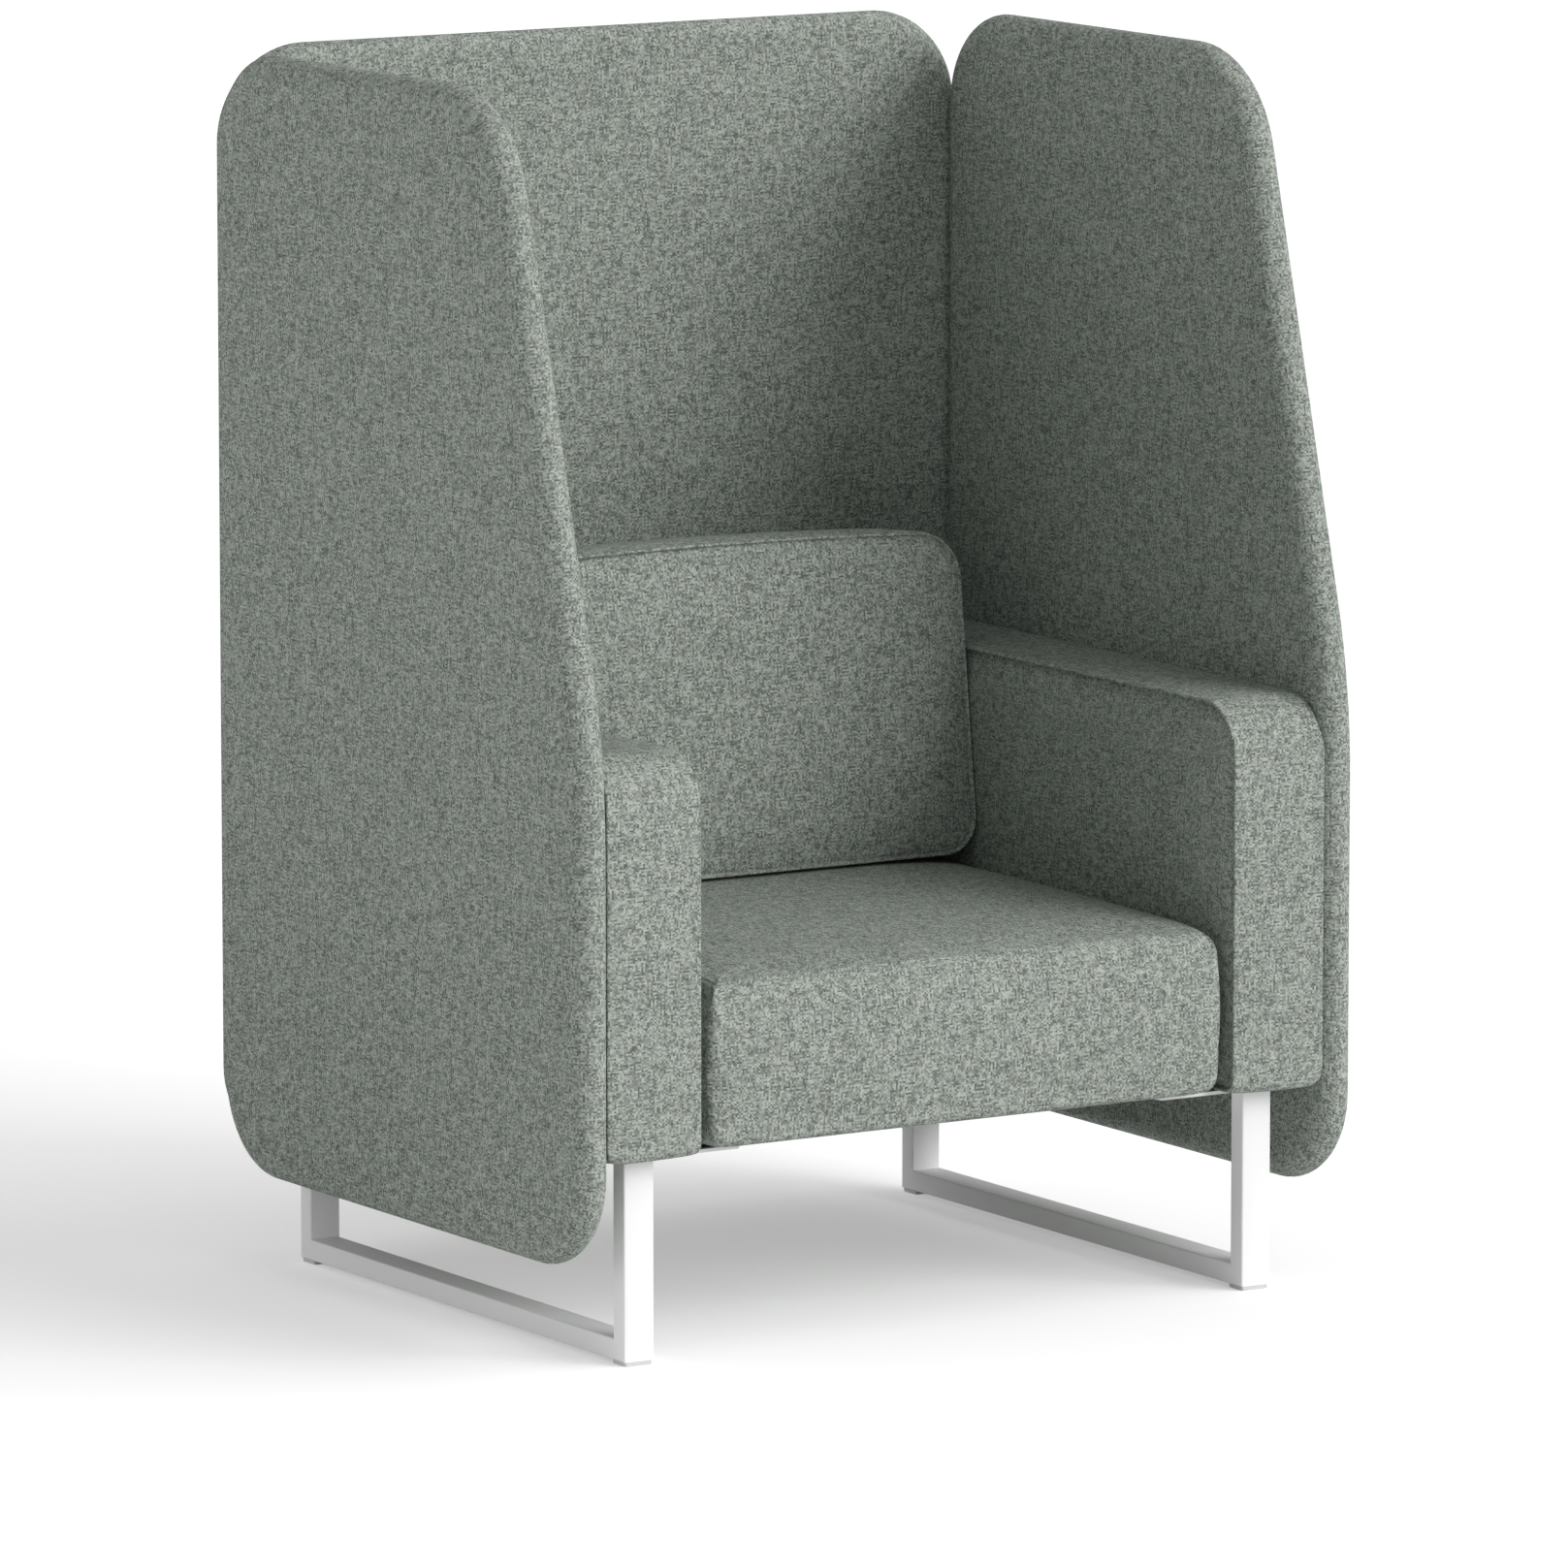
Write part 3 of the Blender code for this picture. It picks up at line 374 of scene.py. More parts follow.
def sewnShell(name, cornersOf, rows, place, threadStart, heldRows=(), turned=False):
    # rows are (inset, ...) and place turns (a, b, ...) into a point; both ends are closed with a four-sided panel
    # the held rows and the first panel are what the filling can't push out
    marks = cornerMarks(cornersOf(rows[0]))
    rings = [outlineRing(cornersOf(row), row[0]) for row in rows]
    total = len(rings[0])
    points = [place(a, b, *row[1:]) for row, ring in zip(rows, rings) for a, b in ring]
    base = outlineRing(cornersOf(rows[0]), 0.0)
    edge = np.vstack([base, base[:1]])
    along = np.concatenate([[0.0], np.cumsum(np.linalg.norm(np.diff(edge, axis=0), axis=1))])
    middle = [np.array(points[r * total + marks[0] + measuredPoint]) for r in range(len(rows))]
    across = np.concatenate([[0.0], np.cumsum([np.linalg.norm(q - p) for p, q in zip(middle, middle[1:])])])
    faces, threads = [], []
    u0, v0 = threadStart
    for r in range(len(rows) - 1):
        for k in range(total):
            n = (k + 1) % total
            faces.append((r * total + k, r * total + n, (r + 1) * total + n, (r + 1) * total + k))
            for rr, kk in ((r, k), (r, k + 1), (r + 1, k + 1), (r + 1, k)):
                spot = (along[kk], across[rr]) if turned else (across[rr], along[kk])
                threads.append((u0 + spot[0], v0 + spot[1]))
    held = [r * total + k for r in heldRows for k in range(total)]
    n, m = marks[1] - marks[0], marks[2] - marks[1]
    for r, shift in zip((0, len(rows) - 1), panelThreadShift):
        ring = rings[r]
        low = [(marks[0] + i) % total for i in range(n + 1)]
        high = [(marks[3] - i) % total for i in range(n + 1)]
        left = [(marks[0] - j) % total for j in range(m + 1)]
        right = [(marks[1] + j) % total for j in range(m + 1)]
        s = np.arange(n + 1)[:, None, None] / n
        t = np.arange(m + 1)[None, :, None] / m
        grid = (1 - t) * ring[low][:, None] + t * ring[high][:, None]
        grid = grid + (1 - s) * ring[left][None] + s * ring[right][None]
        grid = grid - (1 - s) * (1 - t) * ring[low[0]] - s * (1 - t) * ring[low[-1]]
        grid = grid - (1 - s) * t * ring[high[0]] - s * t * ring[high[-1]]
        index = np.zeros((n + 1, m + 1), int)
        for i in range(n + 1):
            for j in range(m + 1):
                if j == 0:
                    index[i, j] = r * total + low[i]
                elif j == m:
                    index[i, j] = r * total + high[i]
                elif i == 0:
                    index[i, j] = r * total + left[j]
                elif i == n:
                    index[i, j] = r * total + right[j]
                else:
                    index[i, j] = len(points)
                    points.append(place(*grid[i, j], *rows[r][1:]))
                    if r == 0:
                        held.append(index[i, j])
        for i in range(n):
            for j in range(m):
                quad = ((i, j), (i + 1, j), (i + 1, j + 1), (i, j + 1))
                faces.append(tuple(index[q] for q in quad))
                threads += [(u0 + shift + grid[q][0], v0 + shift + grid[q][1]) for q in quad]
    mesh = bpy.data.meshes.new(name)
    mesh.from_pydata([tuple(p) for p in points], [], [tuple(int(i) for i in f) for f in faces])
    layer = mesh.uv_layers.new(name="threads")
    layer.data.foreach_set("uv", np.array(threads, np.float32).ravel())
    made = bmesh.new()
    made.from_mesh(mesh)
    bmesh.ops.recalc_face_normals(made, faces=made.faces)
    made.to_mesh(mesh)
    made.free()
    mesh.shade_smooth()
    mesh.materials.append(fabric)
    piece = bpy.data.objects.new(name, mesh)
    scene.collection.objects.link(piece)
    piece.vertex_groups.new(name="sewn").add([int(i) for i in held], 1.0, "REPLACE")
    return piece


filling = {"pressure": 0.6, "quality": 4, "mass": 0.002, "frames": 20}
tiny = 1e-9


def plump(piece, most, limit):
    # the filling pushes the cloth out between its seams; no point moves further than most, or into a neighbour
    s = filling
    mesh = piece.data
    rest = np.empty(len(mesh.vertices) * 3)
    mesh.vertices.foreach_get("co", rest)
    cloth = piece.modifiers.new("filling", "CLOTH")
    cloth.settings.quality = s["quality"]
    cloth.settings.mass = s["mass"]
    cloth.settings.vertex_group_mass = "sewn"
    cloth.settings.use_pressure = True
    cloth.settings.uniform_pressure_force = s["pressure"]
    cloth.settings.effector_weights.gravity = 0.0
    cloth.point_cache.frame_start = 1
    cloth.point_cache.frame_end = s["frames"]
    for step in range(1, s["frames"] + 1):
        scene.frame_set(step)
    moved = np.empty(len(rest))
    piece.evaluated_get(bpy.context.evaluated_depsgraph_get()).data.vertices.foreach_get("co", moved)
    piece.modifiers.remove(cloth)
    scene.frame_set(1)
    shift = (moved - rest).reshape(-1, 3)
    length = np.linalg.norm(shift, axis=1, keepdims=True)
    print(piece.name, "filling moved the cloth by up to", round(1000 * float(length.max()), 1), "mm")
    shift = shift * (most * np.tanh(length / most) / np.maximum(length, tiny))
    spots = rest.reshape(-1, 3) + shift
    mesh.vertices.foreach_set("co", np.array([limit(*spot) for spot in spots]).ravel())
    mesh.update()


def settle(piece, covered, fill=None):
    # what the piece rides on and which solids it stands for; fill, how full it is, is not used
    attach(piece, "root")
    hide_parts(*covered)


# Screens

screenForm = {
    "corner": 0.115, "slantStart": 0.7147, "slantSetback": 0.1984, "slantTop": 0.1515, "slantStartRadius": 0.8,
    "edgeSteps": 14, "arcSteps": 16, "levelSteps": 30, "frontSteps": (24, 8, 24), "backSteps": (36, 56), "fill": 0.9,
}
screenLayers = ("cover", "inner_foam", "outer_foam")


def screenRows(half):
    # a half-round edge, from one face to the other: (inset, distance from the middle)
    steps = screenForm["edgeSteps"]
    turns = [math.pi * (i / steps - 0.5) for i in range(steps + 1)]
    return [(half * (1 - math.cos(t)), half * math.sin(t)) for t in turns]


def sideScreen(label, side, start):
    s = screenForm
    low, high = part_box(label + "_screen_cover")
    half = (high.x - low.x) / 2
    midX = (high.x + low.x) / 2
    arc, level, front = s["arcSteps"], s["levelSteps"], s["frontSteps"]
    corners = [
        (low.y, low.z, s["corner"], arc, level),
        (high.y, low.z, s["corner"], arc, sum(front)),
        (high.y, high.z, s["corner"], arc, level),
        (low.y + s["slantSetback"], high.z, s["slantTop"], arc, front[0]),
        (low.y, s["slantStart"], s["slantStartRadius"], front[1], front[2]),
    ]
    rows = screenRows(half)

    def place(a, b, depth):
        return (midX + side * depth, a, b)

    piece = sewnShell(label + "_screen_upholstery", lambda row: corners, rows, place, start)
    settle(piece, [label + "_screen_" + x for x in screenLayers], s["fill"])


def backScreen(start):
    s = screenForm
    low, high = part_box("back_screen_cover")
    half = (high.y - low.y) / 2
    midY = (high.y + low.y) / 2
    arc = s["arcSteps"]
    level, upright = s["backSteps"]
    corners = [
        (low.x, low.z, s["corner"], arc, level),
        (high.x, low.z, s["corner"], arc, upright),
        (high.x, high.z, s["corner"], arc, level),
        (low.x, high.z, s["corner"], arc, upright),
    ]
    rows = screenRows(half)

    def place(a, b, depth):
        return (a, midY + depth, b)

    piece = sewnShell("back_screen_upholstery", lambda row: corners, rows, place, start)
    settle(piece, ["back_screen_" + x for x in screenLayers], s["fill"])


sideScreen("left", -1, (0.0, 0.0))
sideScreen("right", 1, (11.0, 4.0))
backScreen((23.0, 9.0))
print("screens made")


# Room between the padded pieces: the cushions stay within cushionHalf and the arms outside it

padRoom = {
    "gap": 0.0003,
    "press": 0.0015,        # how far the filled cushion presses into the arms
    "ease": 0.1,            # how fast a pad may swell again past its neighbour's edge
    "lean": 0.125,          # of the back cushion's front, which the arms keep clear of
}
backLow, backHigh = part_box("back_cover")
cushionHalf = backHigh.x + padRoom["press"]


# Arms

armForm = {
    "topRadius": 0.066, "edgeRadius": 0.010, "outerRadius": 0.004, "crown": 0.003, "ridge": 0.0012, "step": 0.007,
    "bandEdge": 0.0020,     # radius of the edge where the band turns into the seam
    "hollow": 0.006,        # how deep the inner panel starts below that edge
    "hollowReach": 0.018,
    "bulge": 0.006,         # how far the padding of the inner panel stands out in front of the cushions
    "bulgeReach": 0.070,
    "bulgeFade": 0.10,      # length over which it flattens before the back cushion
    "bulgeRise": 0.06,      # height over which it grows above the seat
    "bandSwell": 0.0012,    # how far the band stands out between its edges, before the filling pushes it
    "outerCorner": 0.016,   # radius of the front's lower corner beside the screen
    "innerCorner": 0.009,   # and beside the seat
    "cornerReach": 0.020,   # how far back these corners go, all within the front foam
    "cornerHeight": 0.06,
    "outerSwell": 0.0015,
    "gap": 0.0004,          # air left beside the screen
    "noseShare": 0.8,       # how far round the screen's front edge the foam follows it
    "cornerSteps": 4, "topSteps": 16, "outerSteps": 5,
    "bottomExtra": 6,       # more points where the front's rounded top has its arc
    "bandEase": 0.002,      # straight run before the band's edge
    "edgeTurns": (0, 20, 40, 60, 80, 100, 125, 150),
    "slit": ((0.0, 0.0030), (0.0003, 0.0070), (0.0018, 0.0070)),     # (way in, depth) of the sewn slit
    "panelInset": 0.003,
    "panelRows": (0.0, 0.002, 0.005, 0.009, 0.013, 0.018, 0.026, 0.036, 0.048, 0.060, 0.075),
    "heldOuter": 8,         # rows held at the outer edge
    "most": 0.002,          # how far the filling may push the cloth
    "fill": 0.85,
}


def arm(label, side, start):
    s = armForm
    low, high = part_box(label + "_arm_cover")
    screenLow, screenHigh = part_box(label + "_screen_cover")
    width = high.x - low.x - s["crown"]
    outerX = max(abs(low.x), abs(high.x))
    innerX = outerX - width
    frontY, rearY, bottomZ, topZ = low.y, high.y, low.z, high.z
    alongY = round((rearY - frontY) / s["step"])
    alongZ = round((topZ - bottomZ) / s["step"])
    corners = [
        (frontY, bottomZ, s["edgeRadius"], s["cornerSteps"], alongY + s["bottomExtra"]),
        (rearY, bottomZ, s["edgeRadius"], s["cornerSteps"], alongZ + s["bottomExtra"]),
        (rearY, topZ, s["edgeRadius"], s["cornerSteps"], alongY),
        (frontY, topZ, s["topRadius"], s["topSteps"], alongZ),
    ]
    midY, halfY = (frontY + rearY) / 2, (rearY - frontY) / 2
    midZ, halfZ = (bottomZ + topZ) / 2, (topZ - bottomZ) / 2
    wall = s["ridge"]
    outerWall = wall - s["outerSwell"]
    outerRows = roundEdge(s["outerRadius"], s["outerSteps"], outerWall)
    # rows are (inset, distance from the inner face, share of the crown)
    rows = [(inset, width - depth, 0.0) for inset, depth in outerRows]
    bandStart, bandEnd = width - s["outerRadius"], s["bandEdge"] + s["bandEase"]
    bandSteps = round((bandStart - bandEnd) / s["step"])
    for i in range(1, bandSteps + 1):
        share = i / bandSteps
        swell = s["bandSwell"] * (1 - (2 * share - 1) ** 2)
        rows.append((outerWall + (wall - outerWall) * share - swell, bandStart + (bandEnd - bandStart) * share, 0.0))
    firstSeam = len(rows)
    edge = s["bandEdge"]
    for turn in s["edgeTurns"]:
        t = math.radians(turn)
        rows.append((wall + edge * (1 - math.cos(t)), edge * (1 - math.sin(t)), 0.0))
    seam = wall + 2 * edge
    rows += [(seam + wayIn, depth, 0.0) for wayIn, depth in s["slit"]]
    lastSeam = len(rows)
    panelStart = seam + s["panelInset"]
    for inset in s["panelRows"]:
        hollow = s["hollow"] * max(1 - inset / s["hollowReach"], 0.0) ** 2
        rows.append((panelStart + inset, hollow, 1 - max(1 - inset / s["bulgeReach"], 0.0) ** 2))
    heldRows = [*range(s["heldOuter"]), *range(firstSeam, lastSeam)]
    # the foam fills the hollow beside the rounded front edge of the screen
    nose = (screenHigh.x - screenLow.x) / 2
    noseX, noseY = abs(screenHigh.x + screenLow.x) / 2, screenLow.y + nose
    cushionY = backLow.y

    def place(a, b, depth, share):
        swell = (1 - ((a - midY) / halfY) ** 2) * (1 - ((b - midZ) / halfZ) ** 2)
        offset = min(max(noseY - a, 0.0), nose * s["noseShare"])
        room = noseX - math.sqrt(nose ** 2 - offset ** 2) - s["gap"] - outerX
        fullness = max(depth / width, 0.0) ** 3 * max(room, 0.0)
        fade = min(max((cushionY - a) / s["bulgeFade"], 0.0), 1.0)
        fade *= min(max((b - backLow.z) / s["bulgeRise"], 0.0), 1.0)
        bulge = s["bulge"] * fade * fade * (3 - 2 * fade)
        x = innerX + depth + fullness - share * (s["crown"] * swell + bulge)
        near = min(max(1 - (a - frontY) / s["cornerReach"], 0.0), 1.0)
        near *= min(max(1 - (b - bottomZ) / s["cornerHeight"], 0.0), 1.0)
        lift = near * max(cornerCut(s["outerCorner"], width - depth), cornerCut(s["innerCorner"], depth))
        return (side * x, min(a, rearY), max(b, bottomZ) + lift)

    piece = sewnShell(label + "_arm_upholstery", lambda row: corners, rows, place, start, heldRows)

    def limit(x, y, z):
        # clear of the seat below and of the back cushion behind
        clear = min(max(z - backLow.z, 0.0), max(cushionY + padRoom["lean"] * (z - backLow.z) - y, 0.0))
        nearest = cushionHalf + padRoom["gap"] - padRoom["ease"] * clear
        return (side * max(abs(x), nearest), min(y, rearY), max(z, bottomZ))

    plump(piece, s["most"], limit)
    settle(piece, [label + "_arm_cover", label + "_arm_foam"], s["fill"])


arm("left", -1, (31.0, 2.0))
arm("right", 1, (37.0, 5.0))
print("arms made")


# Seat

seatForm = {
    "frontHalf": 0.3495, "rearHalf": 0.3568, "crown": 0.010, "archAcross": 0.002, "archAlong": 0.003,
    "sideSwell": 0.003, "bandSwell": 0.0035, "topRadius": 0.026, "bottomRadius": 0.015, "cornerRadius": 0.007,
    "cornerDip": 0.003, "dipPower": 12, "ridge": 0.0012, "step": 0.008, "cornerSteps": 6, "bottomSteps": 6,
    "seamTurn": 33.0,       # degrees round the top edge
    "seamDepth": 0.0010,
    "seamRows": ((6, 0.1), (3, 0.5), (0, 1.0), (-3, 0.5), (-6, 0.1)),     # (degrees from the seam, share of its depth)
    "turnsBelow": (78, 66, 54, 44), "turnsAbove": (20, 10, 0),
    "topLanding": 0.007,    # flat run between the top edge and the top panel
    "frontFall": 0.006,     # how far the top falls away to the front edge
    "frontReach": 0.070,
    "sag": 0.0055,          # how far the front lower edge hangs below the frame
    "sagReach": 0.022,
    "sagHeight": 0.08,
    "sagEnd": 0.035,        # the sag fades out this far before the corners
    "lowerCorner": 0.018,   # radius of the front's lower corners
    "cornerReach": 0.030,
    "cornerHeight": 0.06,
    "heldBottom": 8,        # rows held at the bottom edge
    "most": 0.003,          # how far the filling may push the cloth
    "fill": 0.85,
}


def seat(start):
    s = seatForm
    low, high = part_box("seat_cover")
    height = high.z - low.z - s["crown"]
    halfX, halfY, midY = s["rearHalf"], (high.y - low.y) / 2, (high.y + low.y) / 2
    alongX, alongY = round(2 * halfX / s["step"]), round(2 * halfY / s["step"])
    corners = [
        (-s["frontHalf"], low.y, s["cornerRadius"], s["cornerSteps"], alongX),
        (s["frontHalf"], low.y, s["cornerRadius"], s["cornerSteps"], alongY),
        (s["rearHalf"], high.y, s["cornerRadius"], s["cornerSteps"], alongX),
        (-s["rearHalf"], high.y, s["cornerRadius"], s["cornerSteps"], alongY),
    ]
    wall = s["ridge"]
    # rows are (inset, height, share of the rise)
    rows = [(inset, depth, 0.0) for inset, depth in roundEdge(s["bottomRadius"], s["bottomSteps"], wall)]
    sideLow, sideHigh = s["bottomRadius"], height - s["topRadius"]
    sideSteps = round((sideHigh - sideLow) / s["step"])
    for i in range(1, sideSteps + 1):
        swell = s["bandSwell"] * (1 - (2 * i / sideSteps - 1) ** 2)
        rows.append((wall - swell, sideLow + (sideHigh - sideLow) * i / sideSteps, (i / sideSteps) ** 2))
    # top edge, with the seam of the top panel as a shallow groove in it
    firstSeam = len(rows) + len(s["turnsBelow"])
    turns = [(turn, 0) for turn in s["turnsBelow"]]
    turns += [(s["seamTurn"] + turn, sunk) for turn, sunk in s["seamRows"]]
    turns += [(turn, 0) for turn in s["turnsAbove"]]
    for turn, sunk in turns:
        t = math.radians(turn)
        radius = s["topRadius"] - s["seamDepth"] * sunk
        inset = wall + s["topRadius"] - radius * math.sin(t)
        rows.append((inset, height - s["topRadius"] + radius * math.cos(t), 1.0))
    rows.append((wall + s["topRadius"] + s["topLanding"], height, 1.0))
    heldRows = [*range(s["heldBottom"]), *range(firstSeam, firstSeam + len(s["seamRows"]))]

    def place(a, b, depth, share):
        across, along = min(abs(a / halfX), 1.0), min(abs(b - midY) / halfY, 1.0)
        rise = s["archAcross"] * (1 - across ** 2) + s["archAlong"] * (1 - along ** 2)
        rise += (s["crown"] - s["archAcross"] - s["archAlong"]) * (1 - along ** 3) * (1 - across ** 3)
        rise -= s["cornerDip"] * (across * along) ** s["dipPower"]
        ahead = b - low.y
        rise -= s["frontFall"] * max(1 - ahead / s["frontReach"], 0.0) ** 2
        sag = s["sag"] * max(1 - ahead / s["sagReach"], 0.0) ** 1.5 * max(1 - depth / s["sagHeight"], 0.0)
        sag *= 1 - min(max(1 - (s["frontHalf"] - abs(a)) / s["sagEnd"], 0.0), 1.0)
        x = a + math.copysign(s["sideSwell"] * across * (1 - along ** 2), a)
        near = min(max(1 - ahead / s["cornerReach"], 0.0), 1.0) * max(1 - depth / s["cornerHeight"], 0.0)
        lift = near * cornerCut(s["lowerCorner"], max(s["frontHalf"] - abs(a), 0.0))
        return (x, min(b, high.y), low.z + depth + share * rise - sag + lift)

    piece = sewnShell("seat_upholstery", lambda row: corners, rows, place, start, heldRows, True)

    def limit(x, y, z):
        # clear of the arms beside it and of the back cushion on it
        top = backLow.z - padRoom["gap"] + padRoom["ease"] * max(backLow.y - y, 0.0)
        return (min(max(x, -cushionHalf), cushionHalf), min(y, high.y), min(z, top))

    plump(piece, s["most"], limit)
    settle(piece, ["seat_cover", "seat_foam"], s["fill"])


seat((43.0, 1.0))
print("seat made")


# Back cushion

backForm = {
    "topFall": 0.030, "cornerRadius": 0.055, "lowerRadius": 0.046, "edgeRadius": 0.010, "crown": 0.012, "ridge": 0.0012,
    "bottomDepth": 0.2845, "step": 0.008, "arcSteps": 12, "edgeSteps": 5, "bandSteps": 22,
    "bottomDraw": 0.0035, "topDraw": 0.004, "drawDepth": 0.035,
    "drawRows": (0.028, 0.022, 0.017, 0.0125, 0.009, 0.0072),
    "seamRows": (            # ridge, slit and start of the panel: (inset, distance behind the front, crown share)
        (0.0010, 0.0055, 0.0), (0.0004, 0.0040, 0.0), (0.0, 0.0026, 0.0), (0.0004, 0.0012, 0.0),
        (0.0013, 0.0002, 0.0), (0.0024, -0.0002, 0.0), (0.0034, 0.0006, 0.0), (0.0040, 0.0022, 0.0),
        (0.0043, 0.0042, 0.0), (0.0054, 0.0044, 0.0), (0.0064, 0.0032, 0.0),
        (0.0080, 0.0018, 0.2), (0.0105, 0.0006, 0.6), (0.014, -0.0004, 1.0),
    ),
    "topSwell": 0.0102,      # how far the top stands up in the middle
    "heldRear": 12,          # rows held at the rear edge
    "heldSeam": 11,          # rows held at the seam
    "fullness": 2.5,         # power of the crown: higher is flatter in the middle
    "most": 0.004,           # how far the filling may push the cloth
    "fill": 0.8,
}


def backCushion(start):
    s = backForm
    low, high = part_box("back_cover")
    halfX, tall, rearY = high.x, high.z - low.z, high.y
    frontY = rearY - s["bottomDepth"]
    arcs = 2 * s["cornerRadius"]
    alongX, alongZ = round((2 * halfX - arcs) / s["step"]), round((tall - arcs) / s["step"])

    def cornersOf(row):
        # the front seam draws the boxing in
        draw = row[-1]
        bottom, top = s["bottomDraw"] * draw, tall - s["topDraw"] * draw
        lower, upper, steps = s["lowerRadius"], s["cornerRadius"], s["arcSteps"]
        return [
            (-halfX, bottom, lower, steps, alongX),
            (halfX, bottom, lower, steps, alongZ),
            (halfX, top, upper, steps, alongX),
            (-halfX, top, upper, steps, alongZ),
        ]

    wall = s["ridge"]
    # rows are (inset, distance behind the front, share of the way to the rear, crown share, draw)
    edge, drawDepth = s["edgeRadius"], s["drawDepth"]
    rows = [(inset, -depth, 1.0, 0.0, 0.0) for inset, depth in roundEdge(edge, s["edgeSteps"], wall)]
    for i in range(1, s["bandSteps"] + 1):
        ahead = i / s["bandSteps"]
        rows.append((wall, drawDepth * ahead - edge * (1 - ahead), 1 - ahead, 0.0, 0.0))
    for depth in s["drawRows"]:
        draw = 1 - math.sqrt(1 - (1 - depth / drawDepth) ** 2)
        rows.append((wall, depth, 0.0, 0.0, draw))
    firstSeam = len(rows)
    rows += [(inset, behind, 0.0, crown, 1.0) for inset, behind, crown in s["seamRows"]]
    heldRows = [*range(s["heldRear"]), *range(firstSeam, firstSeam + s["heldSeam"])]

    def place(a, b, depth, share, crown, draw):
        front = frontY + padRoom["lean"] * b
        y = front + depth + share * (rearY - front)
        back = min(max((y - front) / (rearY - front), 0.0), 1.0)
        power = s["fullness"]
        swell = max(0.0, (1 - abs(a / halfX) ** power) * (1 - abs(2 * b / tall - 1) ** power))
        rise = s["topSwell"] * (1 - (a / halfX) ** 2) * max(2 * b / tall - 1, 0.0) ** 2
        return (a, y - s["crown"] * crown * swell, low.z + b * (1 - back * s["topFall"] / tall) + rise)

    piece = sewnShell("back_upholstery", cornersOf, rows, place, start, heldRows, True)

    def limit(x, y, z):
        return (min(max(x, -cushionHalf), cushionHalf), min(y, rearY), max(z, low.z))

    plump(piece, s["most"], limit)
    settle(piece, ["back_cover", "back_foam"], s["fill"])


backCushion((51.0, 3.0))
print("back cushion made")


# Sled legs

sledForm = {"edge": 0.0022, "edgeSteps": 4, "sharpAngle": 40}


def sled(label):
    # one bent run of rectangular tube, welded at square mitres: leg, floor rail, leg
    s = sledForm
    frontLow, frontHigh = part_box(label + "_sled_front_leg")
    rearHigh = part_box(label + "_sled_rear_leg")[1]
    midX, halfX = (frontLow.x + frontHigh.x) / 2, (frontHigh.x - frontLow.x) / 2
    halfD = (frontHigh.y - frontLow.y) / 2
    bottomZ, topZ = frontLow.z, frontHigh.z
    corner = (s["edge"], s["edgeSteps"], 1)
    section = outlineRing([
        (-halfX, -halfD, *corner), (halfX, -halfD, *corner), (halfX, halfD, *corner), (-halfX, halfD, *corner),
    ], 0.0)
    stations = []
    for z in (topZ, (topZ + bottomZ) / 2):
        stations.append([(midX + u, frontLow.y + halfD + v, z) for u, v in section])
    stations.append([(midX + u, frontLow.y + halfD + v, bottomZ + halfD + v) for u, v in section])
    stations.append([(midX + u, rearHigh.y - halfD - v, bottomZ + halfD + v) for u, v in section])
    for z in ((topZ + bottomZ) / 2, topZ):
        stations.append([(midX + u, rearHigh.y - halfD - v, z) for u, v in section])
    made = bmesh.new()
    rows = [[made.verts.new(p) for p in ring] for ring in stations]
    total = len(section)
    for a, b in zip(rows, rows[1:]):
        for k in range(total):
            made.faces.new((a[k], a[(k + 1) % total], b[(k + 1) % total], b[k]))
    made.faces.new(rows[0])
    made.faces.new(rows[-1])
    bmesh.ops.recalc_face_normals(made, faces=made.faces)
    mesh = bpy.data.meshes.new(label + "_sled_frame")
    made.to_mesh(mesh)
    made.free()
    mesh.shade_smooth()
    mesh.set_sharp_from_angle(angle=math.radians(s["sharpAngle"]))
    mesh.materials.append(coat)
    piece = bpy.data.objects.new(label + "_sled_frame", mesh)
    scene.collection.objects.link(piece)
    settle(piece, [label + "_sled_" + x for x in ("front_leg", "rear_leg", "floor_rail")])


sled("left")
sled("right")
print("sled legs made")


# Cloth under the seat

clothForm = {"across": 24, "along": 28}


def underCloth():
    low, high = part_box("seat_dust_cloth")
    across, along = clothForm["across"], clothForm["along"]
    made = bmesh.new()
    middle = (low.z + high.z) / 2
    columns = [low.x + (high.x - low.x) * i / across for i in range(across + 1)]
    lines = [low.y + (high.y - low.y) * j / along for j in range(along + 1)]
    grid = [[made.verts.new((x, y, middle)) for y in lines] for x in columns]
    for i in range(across):
        for j in range(along):
            made.faces.new((grid[i][j], grid[i][j + 1], grid[i + 1][j + 1], grid[i + 1][j]))
    mesh = bpy.data.meshes.new("seat_underside_cloth")
    made.to_mesh(mesh)
    made.free()
    mesh.shade_smooth()
    mesh.materials.append(dustCloth)
    piece = bpy.data.objects.new("seat_underside_cloth", mesh)
    scene.collection.objects.link(piece)
    settle(piece, ["seat_dust_cloth"])


underCloth()
print("cloth under the seat made")


# Camera, floor and light

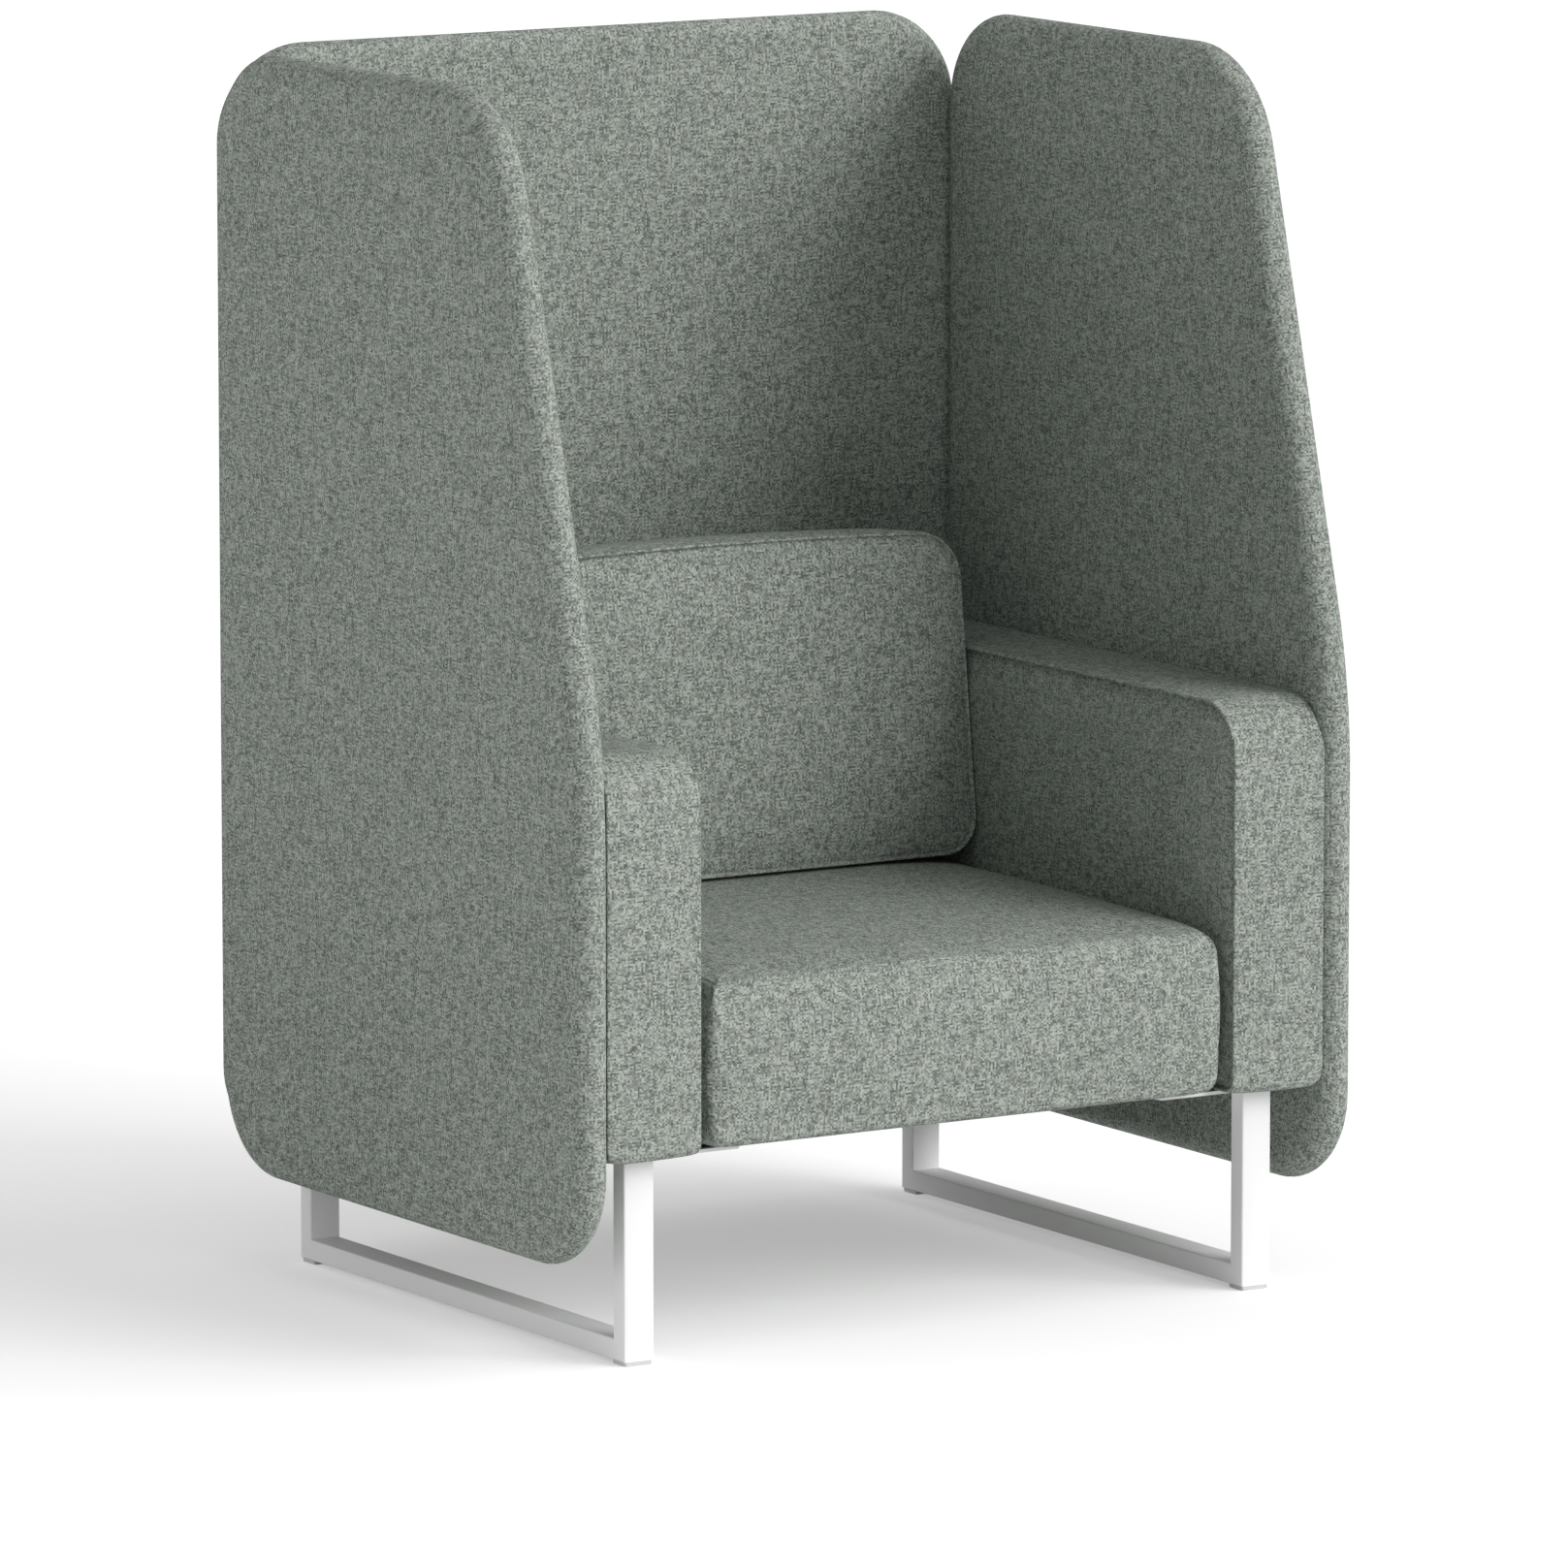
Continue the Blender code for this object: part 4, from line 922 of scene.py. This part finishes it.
photoView = {
    "place": (-7.4198, -11.94975, 2.7589), "tilt": 81.2253, "turn": -31.8805, "lens": 276.33, "sensor": 36.0,
    "farthest": 200.0,
}
cameraData = bpy.data.cameras.new("photoCamera")
cameraData.sensor_width = photoView["sensor"]
cameraData.lens = photoView["lens"]
camera = bpy.data.objects.new("photoCamera", cameraData)
camera.location = photoView["place"]
camera.rotation_euler = (math.radians(photoView["tilt"]), 0.0, math.radians(photoView["turn"]))
cameraData.clip_end = photoView["farthest"]
scene.collection.objects.link(camera)
scene.camera = camera

floorLook = {
    "colour": "#f4f4f4", "roughness": 0.9, "specular": 0.1, "reach": 60.0,
    "lift": 0.33,           # lifts the floor to white, with its shadow kept
}
white = (1.0, 1.0, 1.0, 1.0)
floorMesh = bpy.data.meshes.new("floor")
reach = floorLook["reach"]
floorCorners = [(-reach, -reach, 0), (reach, -reach, 0), (reach, reach, 0), (-reach, reach, 0)]
floorMesh.from_pydata(floorCorners, [], [(0, 1, 2, 3)])
floor = bpy.data.objects.new("floor", floorMesh)
scene.collection.objects.link(floor)
floorMaterial, tree, add = newMaterial("paleStudioFloor")
ray = add("ShaderNodeLightPath")
seen = add("ShaderNodeMath", {0: ray.outputs["Is Camera Ray"], 1: ray.outputs["Is Glossy Ray"]}, operation="ADD")
seen = add("ShaderNodeMath", {0: seen, 1: ray.outputs["Is Transmission Ray"]}, operation="ADD")
glow = add("ShaderNodeMath", {0: seen, 1: floorLook["lift"]}, operation="MULTIPLY")
shader = add("ShaderNodeBsdfPrincipled", {
    "Base Color": linear(floorLook["colour"]), "Roughness": floorLook["roughness"],
    "Specular IOR Level": floorLook["specular"], "Emission Color": white, "Emission Strength": glow,
})
add("ShaderNodeOutputMaterial", {0: shader})
floorMesh.materials.append(floorMaterial)

studioLight = {
    "world": 0.407, "spread": 35,
    "suns": {               # azimuth and elevation in degrees, strength
        "frontKey": (30, 25, 1.72),
        "rightKey": (60, 40, 0.75),
        "leftFill": (-110, 10, 0.44),
    },
}
world = bpy.data.worlds.new("studio")
scene.world = world
world.use_nodes = True
world.node_tree.nodes.clear()
add = partial(addNode, world.node_tree)
light = add("ShaderNodeBackground", {0: white, 1: studioLight["world"]})
add("ShaderNodeOutputWorld", {0: light})


def addSun(name, azimuth, elevation, strength):
    # azimuth is measured from the front of the booth towards its right
    lamp = bpy.data.lights.new(name, "SUN")
    lamp.energy = strength
    lamp.angle = math.radians(studioLight["spread"])
    source = bpy.data.objects.new(name, lamp)
    a, e = math.radians(azimuth), math.radians(elevation)
    toward = Vector((math.sin(a) * math.cos(e), -math.cos(a) * math.cos(e), math.sin(e)))
    source.rotation_euler = toward.to_track_quat("Z", "Y").to_euler()
    scene.collection.objects.link(source)


for name, sun in studioLight["suns"].items():
    addSun(name, *sun)
print("camera and light set")
